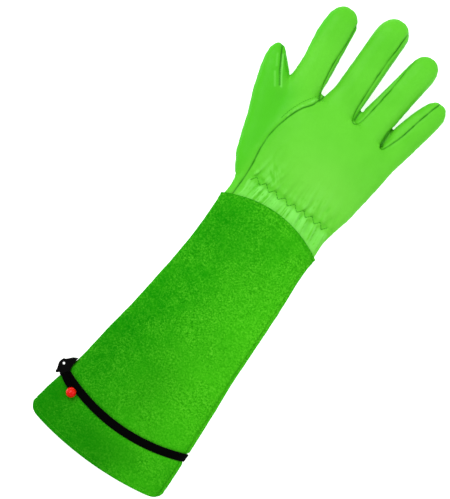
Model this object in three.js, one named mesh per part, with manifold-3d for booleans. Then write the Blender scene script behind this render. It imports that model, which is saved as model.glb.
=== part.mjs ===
import * as THREE from 'three';
import Module from 'manifold-3d';
import { mergeVertices } from 'three/addons/utils/BufferGeometryUtils.js';

// A rose pruning gauntlet for the right hand, lying palm down. Millimetres.
// +X runs to the little finger, +Y to the fingertips and +Z up from the surface.
// Y = 0 is the line where the cuff's hand edge meets the sides of the wrist.

const wasm = await Module();
wasm.setup();

// Leather and sewing
const LEATHER = 1.6;
const PATCH_LEATHER = 1.2;
const PATCH_BACKING = 1.3;
const CUFF_LEATHER = 1.8;
const SEAM_GAP = 0.3;

// Hand
const PALM_LENGTH = 121;
const KNUCKLE_BOW = 11;
const HAND_THICKNESS = 23.5;
const WRIST_WIDTH = 100.4;
const WRIST_THICKNESS = 16.8;
const WRIST_TUCK = 14;
const GATHER_COUNT = 9;
const GATHER_DEPTH = 0.9;

// Fingers
const MIDDLE_OFFSET = -10.8;
const FINGER_GAP = 4;
const INDEX_LENGTH = 87;
const INDEX_WIDTH = 31.2;
const INDEX_THICKNESS = 17.5;
const MIDDLE_LENGTH = 98.8;
const MIDDLE_WIDTH = 30.6;
const MIDDLE_THICKNESS = 18;
const RING_LENGTH = 88.8;
const RING_WIDTH = 28;
const RING_THICKNESS = 17;
const LITTLE_LENGTH = 66.4;
const LITTLE_WIDTH = 27;
const LITTLE_THICKNESS = 16;

// Thumb
const THUMB_REACH = 121.8;
const THUMB_SPREAD = 48;
const THUMB_WIDTH = 33;
const THUMB_THICKNESS = 19;
const THUMB_ROOT_X = -38;
const THUMB_ROOT_Y = 18;

// Cuff
const CUFF_LENGTH = 251;
const CUFF_BOW = 13.9;
const OPENING_WIDTH = 143.4;
const OPENING_OFFSET = -6.9;
const OPENING_BOW = 8;
const OPENING_CORNER = 7;
const CUFF_THICKNESS = 18.5;
const OPENING_THICKNESS = 22;

// Strap, toggle, tail and bead
const STRAP_WIDTH = 7.7;
const STRAP_THICKNESS = 1.6;
const STRAP_FROM_OPENING = 38.6;
const STRAP_BOW = 13.2;
const TOGGLE_LENGTH = 22.3;
const TOGGLE_REACH = 9.3;
const TOGGLE_THICKNESS = 10;
const TOGGLE_EYE = 2.6;
const TAIL_THICKNESS = 1.6;
const TAIL_WIDTH = 6.4;
const NECK_WIDTH = 1.8;
const BEAD_DIAMETER = 9.6;

// Shape of the sections
const FULLNESS = 2.6;
const MID_SHARE = 0.45;
const FLOOR_SINK = 1.2;
const CORNER_POWER = 24;
const DIGIT_SIDES = 18;
const LINING_SIDES = 12;
const HAND_LINING_SIDES = 22;
const FINGER_TIP_POWER = 2.2;
const THUMB_TIP_POWER = 1.6;
const ROOT_OVERLAP = 3;
const OPEN_END = 2;

// Half the size of the blocks that cut the hand apart: well past all of it.
const REACH = CUFF_LENGTH + PALM_LENGTH + MIDDLE_LENGTH;

const lerp = THREE.MathUtils.lerp;
const roundOff = (across) => (1 - Math.abs(across) ** FULLNESS) ** (1 / FULLNESS);

// Reads one column of a table of rows at a given value of its first column.
function readTable(table, column, at) {
  const keys = Object.keys(table[0]);
  const key = keys[0];
  const next = Math.max(1, table.findIndex((row) => row[key] >= at));
  const last = at > table[table.length - 1][key] ? table.length - 1 : next;
  const a = table[last - 1];
  const b = table[last];
  const share = THREE.MathUtils.clamp((at - a[key]) / (b[key] - a[key]), 0, 1);
  return lerp(a[column], b[column], share);
}

// Section rings. Each entry is a place across (-1 to 1) and up (-1 to 1),
// from the little-finger side over the top to the thumb side and back below.
const RING_EDGE = [1, 0.985, 0.95];
const RING_GATHERED_SHARE = 0.9;
const RING_BELOW = [-0.97, -0.88, -0.7, -0.35, 0, 0.35, 0.7, 0.88, 0.97];

function gatheredRing() {
  const step = RING_GATHERED_SHARE / GATHER_COUNT;
  const upper = [...RING_EDGE];
  for (let k = GATHER_COUNT; k >= -GATHER_COUNT; k -= 1) upper.push(k * step);
  upper.push(...RING_EDGE.map((across) => -across).reverse());
  const edge = RING_EDGE.length;
  const ring = upper.map((across, i) => {
    const gathered = i >= edge && i < upper.length - edge;
    const side = i % 2 ? 1 : -1;
    return { across, up: roundOff(across), fold: gathered ? side : 0 };
  });
  RING_BELOW.forEach((across) => ring.push({ across, up: -roundOff(across), fold: 0 }));
  return { ring, top: upper.length };
}

function roundRing(sides) {
  const ring = [];
  for (let i = 0; i < sides; i += 1) {
    const angle = (i / sides) * 2 * Math.PI;
    const cos = Math.cos(angle);
    const sin = Math.sin(angle);
    const across = Math.sign(cos) * Math.abs(cos) ** (2 / FULLNESS);
    const up = Math.sign(sin) * Math.abs(sin) ** (2 / FULLNESS);
    ring.push({ across, up, fold: 0 });
  }
  return { ring, top: sides / 2 + 1 };
}

const BODY_RING = gatheredRing();
const DIGIT_RING = roundRing(DIGIT_SIDES);
const LINING_RING = roundRing(LINING_SIDES);
const HAND_LINING_RING = roundRing(HAND_LINING_SIDES);

// Places one point of a ring in a row. A row has y, left, right, floor, top and mid,
// and may have a bow on its back and palm sides, rounded corners and a fold depth.
function placePoint(row, { across, up, fold }) {
  const centre = (row.left + row.right) / 2;
  const half = (row.right - row.left) / 2;
  const bow = (up >= 0 ? row.bowTop : row.bowPalm) ?? 0;
  const above = row.mid + (row.top - row.mid) * up + (row.ripple ?? 0) * fold;
  const below = Math.max(row.floor, row.mid + (row.mid - row.floor + FLOOR_SINK) * up);
  const corner = (row.corner ?? 0) * (1 - Math.abs(across) ** CORNER_POWER);
  return [centre + half * across, row.y + bow * (1 - across ** 2) + corner, up >= 0 ? above : below];
}

// Insets a row by a wall: sides, roof and floor can differ.
function insetRow(row, side, roof, floor) {
  return {
    ...row,
    left: row.left + side,
    right: row.right - side,
    top: row.top - roof,
    floor: row.floor + floor,
    ripple: 0,
  };
}

function makeGeometry(points, faces) {
  const geometry = new THREE.BufferGeometry();
  geometry.setAttribute('position', new THREE.Float32BufferAttribute(points.flat(), 3));
  geometry.setIndex(faces.flat());
  return geometry;
}

// Side faces between two rings of points that start at indices a and b.
function bandFaces(faces, a, b, count) {
  for (let i = 0; i < count; i += 1) {
    const j = (i + 1) % count;
    faces.push([a + i, b + i, a + j], [a + j, b + i, b + j]);
  }
}

// Fills a ring with a strip of triangles between its upper and lower points.
function capFaces(faces, start, ring, top, points, facesBack) {
  const upper = Array.from({ length: top }, (_, i) => start + i);
  const lower = [start];
  for (let i = ring.length - 1; i >= top; i -= 1) lower.push(start + i);
  lower.push(start + top - 1);
  let u = 0;
  let l = 0;
  while (u < upper.length - 1 || l < lower.length - 1) {
    const nextUp = u < upper.length - 1 ? points[upper[u + 1]][0] : -Infinity;
    const nextLow = l < lower.length - 1 ? points[lower[l + 1]][0] : -Infinity;
    const face = nextUp >= nextLow
      ? [upper[u], upper[u + 1], lower[l]]
      : [upper[u], lower[l + 1], lower[l]];
    if (nextUp >= nextLow) u += 1;
    else l += 1;
    if (new Set(face).size === 3) faces.push(facesBack ? face : [...face].reverse());
  }
}

// A closed loft through rows that run along +Y.
function loft(rows, { ring, top }) {
  const points = rows.flatMap((row) => ring.map((place) => placePoint(row, place)));
  const faces = [];
  for (let r = 0; r < rows.length - 1; r += 1) {
    bandFaces(faces, r * ring.length, (r + 1) * ring.length, ring.length);
  }
  capFaces(faces, 0, ring, top, points, true);
  capFaces(faces, (rows.length - 1) * ring.length, ring, top, points, false);
  return makeGeometry(points, faces);
}

// A tube wall: outer rows and inner rows along +Y, joined at both ends.
function tube(outer, inner, { ring }) {
  const rows = [...outer, ...inner];
  const points = rows.flatMap((row) => ring.map((place) => placePoint(row, place)));
  const faces = [];
  const count = ring.length;
  const innerStart = outer.length * count;
  for (let r = 0; r < outer.length - 1; r += 1) {
    bandFaces(faces, r * count, (r + 1) * count, count);
    bandFaces(faces, innerStart + (r + 1) * count, innerStart + r * count, count);
  }
  bandFaces(faces, innerStart, 0, count);
  bandFaces(faces, (outer.length - 1) * count, innerStart + (outer.length - 1) * count, count);
  return makeGeometry(points, faces);
}

function toSolid(geometry) {
  const bare = geometry.clone();
  bare.deleteAttribute('normal');
  bare.deleteAttribute('uv');
  const merged = mergeVertices(bare, 1e-4);
  return new wasm.Manifold(new wasm.Mesh({
    numProp: 3,
    vertProperties: new Float32Array(merged.attributes.position.array),
    triVerts: new Uint32Array(merged.index.array),
  }));
}

function toGeometry(solid) {
  const { vertProperties, triVerts } = solid.getMesh();
  const geometry = new THREE.BufferGeometry();
  geometry.setAttribute('position', new THREE.BufferAttribute(vertProperties, 3));
  geometry.setIndex(new THREE.BufferAttribute(triVerts, 1));
  return geometry;
}

// An upright prism over a plan outline, between two heights.
function prism(outline, low = -REACH, high = REACH) {
  const shape = new THREE.Shape(outline.map(([x, y]) => new THREE.Vector2(x, y)));
  const geometry = new THREE.ExtrudeGeometry(shape, { depth: high - low, bevelEnabled: false });
  return toSolid(geometry.translate(0, 0, low));
}

// Moves each side of a closed plan outline outwards by a distance.
function growOutline(outline, distance) {
  const turn = THREE.ShapeUtils.isClockWise(outline.map(([x, y]) => ({ x, y }))) ? -1 : 1;
  const count = outline.length;
  return outline.map(([x, y], i) => {
    const [px, py] = outline[(i + count - 1) % count];
    const [nx, ny] = outline[(i + 1) % count];
    const before = new THREE.Vector2(x - px, y - py).normalize();
    const after = new THREE.Vector2(nx - x, ny - y).normalize();
    const normal = new THREE.Vector2(before.y + after.y, -before.x - after.x).normalize();
    const reach = (turn * distance) / Math.max(0.5, normal.x * after.y - normal.y * after.x);
    return [x + normal.x * reach, y + normal.y * reach];
  });
}

// Fingers: shares along the finger, of its width sideways and of its half width.
const FINGERS = {
  index: {
    length: INDEX_LENGTH, width: INDEX_WIDTH, thickness: INDEX_THICKNESS, tip: 0.7,
    table: [
      { along: -0.2, shift: 0.02, wide: 0.95 },
      { along: 0.07, shift: 0, wide: 1.01 },
      { along: 0.31, shift: -0.045, wide: 0.98 },
      { along: 0.62, shift: -0.167, wide: 1.01 },
      { along: 0.75, shift: -0.2, wide: 0.975 },
      { along: 1, shift: -0.212, wide: 0.96 },
    ],
  },
  middle: {
    length: MIDDLE_LENGTH, width: MIDDLE_WIDTH, thickness: MIDDLE_THICKNESS, tip: 0.64,
    table: [
      { along: -0.2, shift: 0, wide: 1.01 },
      { along: 0.013, shift: 0, wide: 1.085 },
      { along: 0.18, shift: 0.049, wide: 1.013 },
      { along: 0.63, shift: 0.023, wide: 0.987 },
      { along: 0.8, shift: 0.02, wide: 0.98 },
      { along: 1, shift: 0.03, wide: 0.98 },
    ],
  },
  ring: {
    length: RING_LENGTH, width: RING_WIDTH, thickness: RING_THICKNESS, tip: 0.66,
    table: [
      { along: -0.2, shift: -0.036, wide: 1 },
      { along: 0.03, shift: 0, wide: 1.1 },
      { along: 0.19, shift: -0.01, wide: 1.07 },
      { along: 0.375, shift: 0.068, wide: 1.02 },
      { along: 0.56, shift: 0.146, wide: 0.986 },
      { along: 0.76, shift: 0.239, wide: 0.964 },
      { along: 1, shift: 0.271, wide: 0.96 },
    ],
  },
  little: {
    length: LITTLE_LENGTH, width: LITTLE_WIDTH, thickness: LITTLE_THICKNESS, tip: 0.74,
    table: [
      { along: -0.25, shift: -0.104, wide: 0.785 },
      { along: 0.02, shift: 0, wide: 0.874 },
      { along: 0.35, shift: 0.081, wide: 1.015 },
      { along: 0.57, shift: 0.196, wide: 1 },
      { along: 0.7, shift: 0.267, wide: 0.956 },
      { along: 0.82, shift: 0.33, wide: 0.92 },
      { along: 1, shift: 0.359, wide: 0.9 },
    ],
  },
};

// Gaps between neighbouring finger roots, as shares of FINGER_GAP.
const ROOT_GAPS = { indexMiddle: 1, middleRing: 0.7, ringLittle: 0.25 };
const rootHalf = ({ width, table }) => (width / 2) * table[1].wide;

const { index, middle, ring, little } = FINGERS;
middle.x = MIDDLE_OFFSET;
index.x = middle.x - rootHalf(middle) - ROOT_GAPS.indexMiddle * FINGER_GAP - rootHalf(index);
ring.x = middle.x + rootHalf(middle) + ROOT_GAPS.middleRing * FINGER_GAP + rootHalf(ring);
little.x = ring.x + rootHalf(ring) + ROOT_GAPS.ringLittle * FINGER_GAP + rootHalf(little);

const KNUCKLE_LEFT = index.x - rootHalf(index);
const KNUCKLE_RIGHT = little.x + rootHalf(little);
const KNUCKLE_HALF = (KNUCKLE_RIGHT - KNUCKLE_LEFT) / 2;
const KNUCKLE_CENTRE = (KNUCKLE_RIGHT + KNUCKLE_LEFT) / 2;
const knuckleY = (x) => PALM_LENGTH - KNUCKLE_BOW * ((x - KNUCKLE_CENTRE) / KNUCKLE_HALF) ** 2;

Object.values(FINGERS).forEach((finger) => {
  finger.y = knuckleY(finger.x);
});

// Shares of a digit's end at which its tip is rounded.
const TIP_STEPS = [0, 0.42, 0.7, 0.88, 0.97];

// Share of a digit's length that its table keeps clear of the rounding.
const TIP_CLEAR_SHARE = 0.05;

function fingerRow(finger, along, wall) {
  const tipLength = finger.tip * finger.width;
  const y = finger.y + along * finger.length;
  const tipStart = finger.y + finger.length - tipLength;
  const s = THREE.MathUtils.clamp((y - tipStart) / (tipLength - wall), 0, 1);
  const slim = (1 - s ** FINGER_TIP_POWER) ** (1 / FINGER_TIP_POWER);
  const centre = finger.x + readTable(finger.table, 'shift', along) * finger.width;
  const half = (finger.width / 2) * readTable(finger.table, 'wide', along) - wall;
  const mid = MID_SHARE * finger.thickness;
  return {
    y,
    left: centre - half * slim,
    right: centre + half * slim,
    mid,
    top: mid + (finger.thickness - mid - wall) * slim,
    floor: mid - (mid - wall) * slim,
  };
}

function fingerRows(finger, wall, from) {
  const tipShare = (finger.tip * finger.width) / finger.length;
  const body = finger.table
    .map((row) => row.along)
    .filter((along) => along >= from && along < 1 - tipShare - TIP_CLEAR_SHARE);
  const reach = tipShare - wall / finger.length;
  const tip = TIP_STEPS.map((step) => 1 - tipShare + step * reach);
  const starts = body.length && body[0] === from ? body : [from, ...body];
  return [...starts, ...tip].map((along) => fingerRow(finger, along, wall));
}

// Thumb: shares of its reach along Y, of its spread and of its half width.
const THUMB_TIP = 0.85;
const THUMB_CLEAR_SHARE = 0.01;
const THUMB = [
  { along: 0, spread: 0, wide: 0.73, high: 0.72 },
  { along: 0.074, spread: 0.0625, wide: 0.94, high: 0.85 },
  { along: 0.168, spread: 0.177, wide: 1.03, high: 0.95 },
  { along: 0.273, spread: 0.27, wide: 1.04, high: 1 },
  { along: 0.443, spread: 0.42, wide: 1.03, high: 1 },
  { along: 0.604, spread: 0.6, wide: 1.01, high: 1 },
  { along: 0.755, spread: 0.74, wide: 0.97, high: 1 },
  { along: 0.837, spread: 0.833, wide: 0.97, high: 1 },
  { along: 0.883, spread: 0.888, wide: 0.97, high: 1 },
  { along: 0.928, spread: 0.95, wide: 0.97, high: 1 },
  { along: 0.985, spread: 0.99, wide: 0.97, high: 1 },
  { along: 1, spread: 1, wide: 0.97, high: 1 },
];
const thumbX = (spread) => THUMB_ROOT_X - THUMB_SPREAD * spread;
const thumbY = (along) => THUMB_ROOT_Y + THUMB_REACH * along;

function thumbRows(wall) {
  const tipLength = THUMB_TIP * THUMB_WIDTH;
  const tipShare = tipLength / THUMB_REACH;
  const reach = tipShare - wall / THUMB_REACH;
  const body = THUMB
    .map((row) => row.along)
    .filter((along) => along < 1 - tipShare - THUMB_CLEAR_SHARE);
  const tip = TIP_STEPS.map((step) => 1 - tipShare + step * reach);
  const mid = MID_SHARE * THUMB_THICKNESS;
  return [...body, ...tip].map((along) => {
    const s = THREE.MathUtils.clamp((along - 1 + tipShare) / reach, 0, 1);
    const slim = (1 - s ** THUMB_TIP_POWER) ** (1 / THUMB_TIP_POWER);
    const centre = thumbX(readTable(THUMB, 'spread', along));
    const half = (THUMB_WIDTH / 2) * readTable(THUMB, 'wide', along) - wall;
    return {
      y: thumbY(along),
      left: centre - half * slim,
      right: centre + half * slim,
      mid,
      top: mid + (THUMB_THICKNESS * readTable(THUMB, 'high', along) - mid - wall) * slim,
      floor: mid - (mid - wall) * slim,
    };
  });
}

// Cuff: shares from the wrist line to the opening, of the way from the wrist's sides to
// the opening's sides, of the bow, and of the way from the wrist's to the opening's height.
const CUFF = [
  { along: 0, thumb: 0, little: 0, bow: 1 },
  { along: 0.036, thumb: -0.05, little: -0.045, bow: 0.95 },
  { along: 0.1, thumb: -0.065, little: -0.05, bow: 0.85 },
  { along: 0.187, thumb: -0.05, little: 0.06, bow: 0.7 },
  { along: 0.3, thumb: 0.02, little: 0.2, bow: 0.4 },
  { along: 0.43, thumb: 0.14, little: 0.335, bow: 0.1 },
  { along: 0.614, thumb: 0.375, little: 0.53, bow: -0.25 },
  { along: 0.713, thumb: 0.485, little: 0.67, bow: -0.55 },
  { along: 0.775, thumb: 0.565, little: 0.755, bow: -0.8 },
  { along: 0.83, thumb: 0.67, little: 0.83, bow: -0.93 },
  { along: 0.875, thumb: 0.78, little: 0.88, bow: -0.95 },
  { along: 0.912, thumb: 0.865, little: 0.93, bow: -0.9 },
  { along: 0.964, thumb: 0.945, little: 0.99, bow: -0.8 },
  { along: 1, thumb: 1, little: 1, bow: -0.6 },
];
const CUFF_HEIGHT = [
  { along: 0, body: 0, flare: 0 },
  { along: 0.036, body: 0, flare: 0 },
  { along: 0.1, body: 0.6, flare: 0 },
  { along: 0.25, body: 1.1, flare: 0 },
  { along: 0.4, body: 0.9, flare: 0 },
  { along: 0.6, body: 1.15, flare: 0.1 },
  { along: 0.78, body: 1, flare: 0.25 },
  { along: 0.9, body: 1, flare: 0.5 },
  { along: 1, body: 1, flare: 1 },
];

// Share of the bow that the palm side has at the hand, and where it has the whole of it.
const PALM_BOW_SHARE = 0.25;
const PALM_BOW_END_SHARE = 0.3;
const WRIST_FLOOR = CUFF_LEATHER + SEAM_GAP;
const WRIST_TOP = WRIST_FLOOR + WRIST_THICKNESS;
const CUFF_TOP_HALF = WRIST_WIDTH / 2 + WRIST_FLOOR;
const CUFF_TOP_HEIGHT = WRIST_TOP + WRIST_FLOOR;
const STRAP_Y = CUFF_LENGTH - STRAP_FROM_OPENING;

function cuffRow(y, depth = 0) {
  const share = -y / CUFF_LENGTH;
  const read = (column) => readTable(CUFF, column, share);
  const body = lerp(CUFF_TOP_HEIGHT, CUFF_THICKNESS, readTable(CUFF_HEIGHT, 'body', share));
  const top = body + (OPENING_THICKNESS - CUFF_THICKNESS) * readTable(CUFF_HEIGHT, 'flare', share);
  const bow = read('bow') * (read('bow') > 0 ? CUFF_BOW : STRAP_BOW);
  const row = {
    y,
    left: lerp(-CUFF_TOP_HALF, OPENING_OFFSET - OPENING_WIDTH / 2, read('thumb')),
    right: lerp(CUFF_TOP_HALF, OPENING_OFFSET + OPENING_WIDTH / 2, read('little')),
    floor: 0,
    top,
    mid: MID_SHARE * top,
    bowTop: bow,
    bowPalm: bow * lerp(PALM_BOW_SHARE, 1, Math.min(1, share / PALM_BOW_END_SHARE)),
  };
  return insetRow(row, depth, depth, depth);
}

// Hand: shares from the wrist line to the knuckles, of the two bows, and of the way from
// the wrist's sides to the knuckles' sides.
const HAND = [
  { along: 0.02, cuffBow: 0.97, palmBow: 0.25, thumb: -0.02, little: 0 },
  { along: 0.073, cuffBow: 0.86, palmBow: 0.3, thumb: -0.046, little: -0.014 },
  { along: 0.145, cuffBow: 0.65, palmBow: 0.4, thumb: -0.01, little: -0.043 },
  { along: 0.218, cuffBow: 0.5, palmBow: 0.5, thumb: 0.13, little: 0.05 },
  { along: 0.309, cuffBow: 0.43, palmBow: 0.43, thumb: 0.34, little: 0.2 },
  { along: 0.418, cuffBow: 0.36, palmBow: 0.36, thumb: 0.52, little: 0.39 },
  { along: 0.564, cuffBow: 0.36, palmBow: 0.36, thumb: 0.65, little: 0.53 },
  { along: 0.727, cuffBow: 0.43, palmBow: 0.43, thumb: 0.79, little: 0.69 },
  { along: 0.882, cuffBow: 0.58, palmBow: 0.58, thumb: 0.9, little: 0.81 },
  { along: 0.964, cuffBow: 0.72, palmBow: 0.72, thumb: 0.96, little: 0.89 },
  { along: 1, cuffBow: 0.79, palmBow: 0.79, thumb: 1, little: 0.95 },
];

// Shares of the way from the wrist's to the hand's height, of the lift that lets the wrist
// sit in the cuff, and of the gathers' depth.
const HAND_HEIGHT = [
  { along: 0.02, high: 0, lift: 0.95, gather: 0.4 },
  { along: 0.073, high: -0.06, lift: 0.75, gather: 0.9 },
  { along: 0.145, high: -0.06, lift: 0.4, gather: 1 },
  { along: 0.218, high: 0.1, lift: 0.15, gather: 1 },
  { along: 0.309, high: 0.45, lift: 0, gather: 0.6 },
  { along: 0.418, high: 0.8, lift: 0, gather: 0.2 },
  { along: 0.564, high: 1, lift: 0, gather: 0 },
  { along: 0.727, high: 0.93, lift: 0, gather: 0 },
  { along: 0.882, high: 0.55, lift: 0, gather: 0 },
  { along: 0.964, high: 0.07, lift: 0, gather: 0 },
  { along: 1, high: -0.15, lift: 0, gather: 0 },
];
const PALM_FLOOR = PATCH_LEATHER + SEAM_GAP + PATCH_BACKING;

function handRow(share) {
  const read = (column) => readTable(HAND, column, share);
  const readHeight = (column) => readTable(HAND_HEIGHT, column, share);
  const bowSize = lerp(CUFF_BOW, KNUCKLE_BOW / HAND[HAND.length - 1].cuffBow, share);
  const floor = WRIST_FLOOR * readHeight('lift');
  const top = lerp(WRIST_TOP, HAND_THICKNESS, readHeight('high'));
  return {
    y: (PALM_LENGTH - KNUCKLE_BOW) * share,
    left: lerp(-WRIST_WIDTH / 2, KNUCKLE_LEFT, read('thumb')),
    right: lerp(WRIST_WIDTH / 2, KNUCKLE_RIGHT, read('little')),
    floor,
    top,
    mid: lerp(floor, top, MID_SHARE),
    bowTop: bowSize * read('cuffBow'),
    bowPalm: bowSize * read('palmBow'),
    ripple: GATHER_DEPTH * readHeight('gather'),
  };
}

// The wrist inside the cuff runs along the cuff's wall, one seam gap clear of it.
function tuckRows(depth) {
  const inCuff = CUFF.map((row) => -row.along * CUFF_LENGTH).filter((y) => y > -depth);
  const clear = WRIST_FLOOR;
  return [-depth, ...inCuff.reverse()].map((y) => insetRow(cuffRow(y), clear, clear, clear));
}

function handRows(side, roof, floor, tuck, shorter) {
  const rows = [...tuckRows(tuck), ...HAND.map((row) => handRow(row.along))];
  rows[rows.length - 1].y -= shorter;
  return rows.map((row) => (side ? insetRow(row, side, roof, floor) : row));
}

const fingers = Object.values(FINGERS);
const outerFinger = (finger) => loft(fingerRows(finger, 0, finger.table[0].along), DIGIT_RING);
const innerFinger = (finger) => {
  const from = -(LEATHER + ROOT_OVERLAP) / finger.length;
  return loft(fingerRows(finger, LEATHER, from), LINING_RING);
};
const outerHand = loft(handRows(0, 0, 0, WRIST_TUCK, 0), BODY_RING);
const innerHand = loft(
  handRows(PALM_FLOOR, LEATHER, PALM_FLOOR, WRIST_TUCK + OPEN_END, LEATHER),
  HAND_LINING_RING,
);

const join = (solids) => solids.reduce((all, solid) => all.add(solid));
const outerThumb = loft(thumbRows(0), DIGIT_RING);
const innerThumb = loft(thumbRows(LEATHER), LINING_RING);

// Webs that fill the ends of two gaps between fingers, as shares: of the palm length that
// they reach past the knuckles, and of the finger thickness between which they lie.
const WEBS = [
  { a: index, b: middle, past: 0.043 },
  { a: middle, b: ring, past: 0.093 },
];
const WEB_LOW_SHARE = 0.2;
const WEB_HIGH_SHARE = 0.55;

function web({ a, b, past }) {
  const left = a.x + rootHalf(a) / 2;
  const right = b.x - rootHalf(b) / 2;
  const knuckle = knuckleY((left + right) / 2);
  const root = knuckle - LEATHER;
  const end = knuckle + past * PALM_LENGTH;
  const thickness = Math.min(a.thickness, b.thickness);
  const outline = [[left, root], [right, root], [right, end], [left, end]];
  return prism(outline, WEB_LOW_SHARE * thickness, WEB_HIGH_SHARE * thickness);
}

const digits = [outerThumb, ...fingers.map(outerFinger)];
const outer = join([...[outerHand, ...digits].map(toSolid), ...WEBS.map(web)]);
const inner = join([innerHand, innerThumb, ...fingers.map(innerFinger)].map(toSolid));
const shell = outer.subtract(inner);

// Height of the edge seam between back and palm, as shares of the palm length and hand thickness.
const EDGE_SEAM = [
  { along: -2, height: 0.41 },
  { along: 0.3, height: 0.41 },
  { along: 0.58, height: 0.44 },
  { along: 0.87, height: 0.4 },
  { along: 0.98, height: 0.34 },
  { along: 4, height: 0.33 },
];

// Everything above or below the edge seam, clear of it by half a seam gap.
function seamSide(upper) {
  const shift = (upper ? SEAM_GAP : -SEAM_GAP) / 2;
  const line = EDGE_SEAM.map(({ along, height }) => [
    PALM_LENGTH * along,
    HAND_THICKNESS * height + shift,
  ]);
  const far = upper ? REACH : -REACH;
  const outline = [...line, [line[line.length - 1][0], far], [line[0][0], far]];
  const shape = new THREE.Shape(outline.map(([y, z]) => new THREE.Vector2(y, z)));
  const geometry = new THREE.ExtrudeGeometry(shape, { depth: 2 * REACH, bevelEnabled: false });
  const turned = new THREE.Matrix4().makeBasis(
    new THREE.Vector3(0, 1, 0),
    new THREE.Vector3(0, 0, 1),
    new THREE.Vector3(1, 0, 0),
  );
  return toSolid(geometry.applyMatrix4(turned).translate(-REACH, 0, 0));
}

const upperSide = seamSide(true);
const lowerSide = seamSide(false);

// Fourchettes: the strips between neighbouring fingers, within these heights.
const FOURCHETTE_LOW_SHARE = 0.18;
const FOURCHETTE_HIGH_SHARE = 0.76;
const FOURCHETTE_END_SHARE = 0.42;
const FOURCHETTE_STEPS = [0.12, 0.35, 0.6];

function fourchetteRegion(a, b, grow) {
  const ends = (finger) => 1 - (FOURCHETTE_END_SHARE * finger.width) / finger.length;
  const axis = (finger, along) => {
    const x = finger.x + readTable(finger.table, 'shift', along) * finger.width;
    return [x, finger.y + along * finger.length];
  };
  const crotch = Math.min(knuckleY(a.x + rootHalf(a)), knuckleY(b.x - rootHalf(b)));
  const root = crotch - LEATHER - SEAM_GAP;
  const steps = (finger) => [...FOURCHETTE_STEPS, ends(finger)].map((along) => axis(finger, along));
  const topA = steps(a);
  const topB = steps(b).reverse();
  const endA = topA[topA.length - 1];
  const endB = topB[0];
  const between = (endA[0] + endB[0]) / 2;
  const across = [[between, endA[1]], [between, endB[1]]];
  const outline = [[a.x, root], ...topA, ...across, ...topB, [b.x, root]];
  const thickness = Math.min(a.thickness, b.thickness);
  const low = FOURCHETTE_LOW_SHARE * thickness - grow;
  const high = FOURCHETTE_HIGH_SHARE * thickness + grow;
  return prism(growOutline(outline, grow), low, high);
}

const FOURCHETTES = [
  ['fourchette_index_middle', index, middle],
  ['fourchette_middle_ring', middle, ring],
  ['fourchette_ring_little', ring, little],
];
const fourchettes = FOURCHETTES.map(([name, a, b]) => ({
  name,
  solid: shell.intersect(fourchetteRegion(a, b, 0)),
}));
const fourchetteCut = join(FOURCHETTES.map(([, a, b]) => fourchetteRegion(a, b, SEAM_GAP)));

// Seam on the back, from the crotch of index and middle finger to the thumb side of the wrist.
const indexCrotchX = (index.x + rootHalf(index) + middle.x - rootHalf(middle)) / 2;
const BACK_SEAM = [
  { along: 0.92, across: -0.505 },
  { along: 0.86, across: -0.593 },
  { along: 0.8, across: -0.649 },
  { along: 0.734, across: -0.691 },
  { along: 0.642, across: -0.735 },
  { along: 0.55, across: -0.76 },
  { along: 0.42, across: -0.746 },
  { along: 0.3, across: -0.705 },
  { along: 0.19, across: -0.688 },
  { along: -1, across: -0.688 },
];

// Share of the palm length at which the back seam leaves the fingers' crotch.
const CROTCH_SHARE = 0.9835;

function sideRegion(shift) {
  const seam = BACK_SEAM.map(({ along, across }) => [
    KNUCKLE_CENTRE + across * KNUCKLE_HALF + shift,
    along * PALM_LENGTH,
  ]);
  const crotch = indexCrotchX + shift;
  const start = PALM_LENGTH * CROTCH_SHARE;
  const outside = [[-REACH, -PALM_LENGTH], [-REACH, REACH]];
  return prism([[crotch, REACH], [crotch, start], ...seam, ...outside]);
}

// Thumb front: an oval let into the palm, in shares of palm length and knuckle width.
const THUMB_SEAM = [
  { along: 0.2, across: -0.95 },
  { along: 0.165, across: -0.78 },
  { along: 0.157, across: -0.61 },
  { along: 0.19, across: -0.44 },
  { along: 0.248, across: -0.32 },
  { along: 0.33, across: -0.255 },
  { along: 0.4, across: -0.255 },
  { along: 0.46, across: -0.3 },
  { along: 0.58, across: -0.39 },
  { along: 0.68, across: -0.485 },
  { along: 0.76, across: -0.53 },
  { along: 0.876, across: -0.79 },
];
const planPoint = ({ along, across }) => [
  KNUCKLE_CENTRE + across * KNUCKLE_HALF,
  along * PALM_LENGTH,
];

// The crotch of thumb and index finger, and the way out between them, as shares of the
// thumb's reach and of its width past the index finger's side.
const THUMB_CROTCH = [
  { along: 0.836, past: 0.018 },
  { along: 0.887, past: 0.106 },
  { along: 1.041, past: 0.106 },
];
const thumbCrotch = THUMB_CROTCH.map(({ along, past }) => [
  KNUCKLE_LEFT - past * THUMB_WIDTH,
  thumbY(along),
]);
const thumbWayOut = thumbY(THUMB_CROTCH[THUMB_CROTCH.length - 1].along);
const thumbOval = [
  [-REACH, THUMB_SEAM[0].along * PALM_LENGTH],
  ...THUMB_SEAM.map(planPoint),
  ...thumbCrotch,
  [-REACH, thumbWayOut],
];

// The thumb front wraps over the side that faces the index finger, up to this seam.
const THUMB_TOP_SEAM = [
  { along: 0.993, spread: 0.99 },
  { along: 0.895, spread: 0.833 },
  { along: 0.776, spread: 0.667 },
  { along: 0.718, spread: 0.54 },
];
const thumbWrap = [
  [thumbX(THUMB_TOP_SEAM[0].spread), thumbWayOut],
  ...THUMB_TOP_SEAM.map(({ along, spread }) => [thumbX(spread), thumbY(along)]),
  [thumbCrotch[0][0], thumbY(THUMB_TOP_SEAM[THUMB_TOP_SEAM.length - 1].along)],
  ...thumbCrotch,
];

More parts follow.
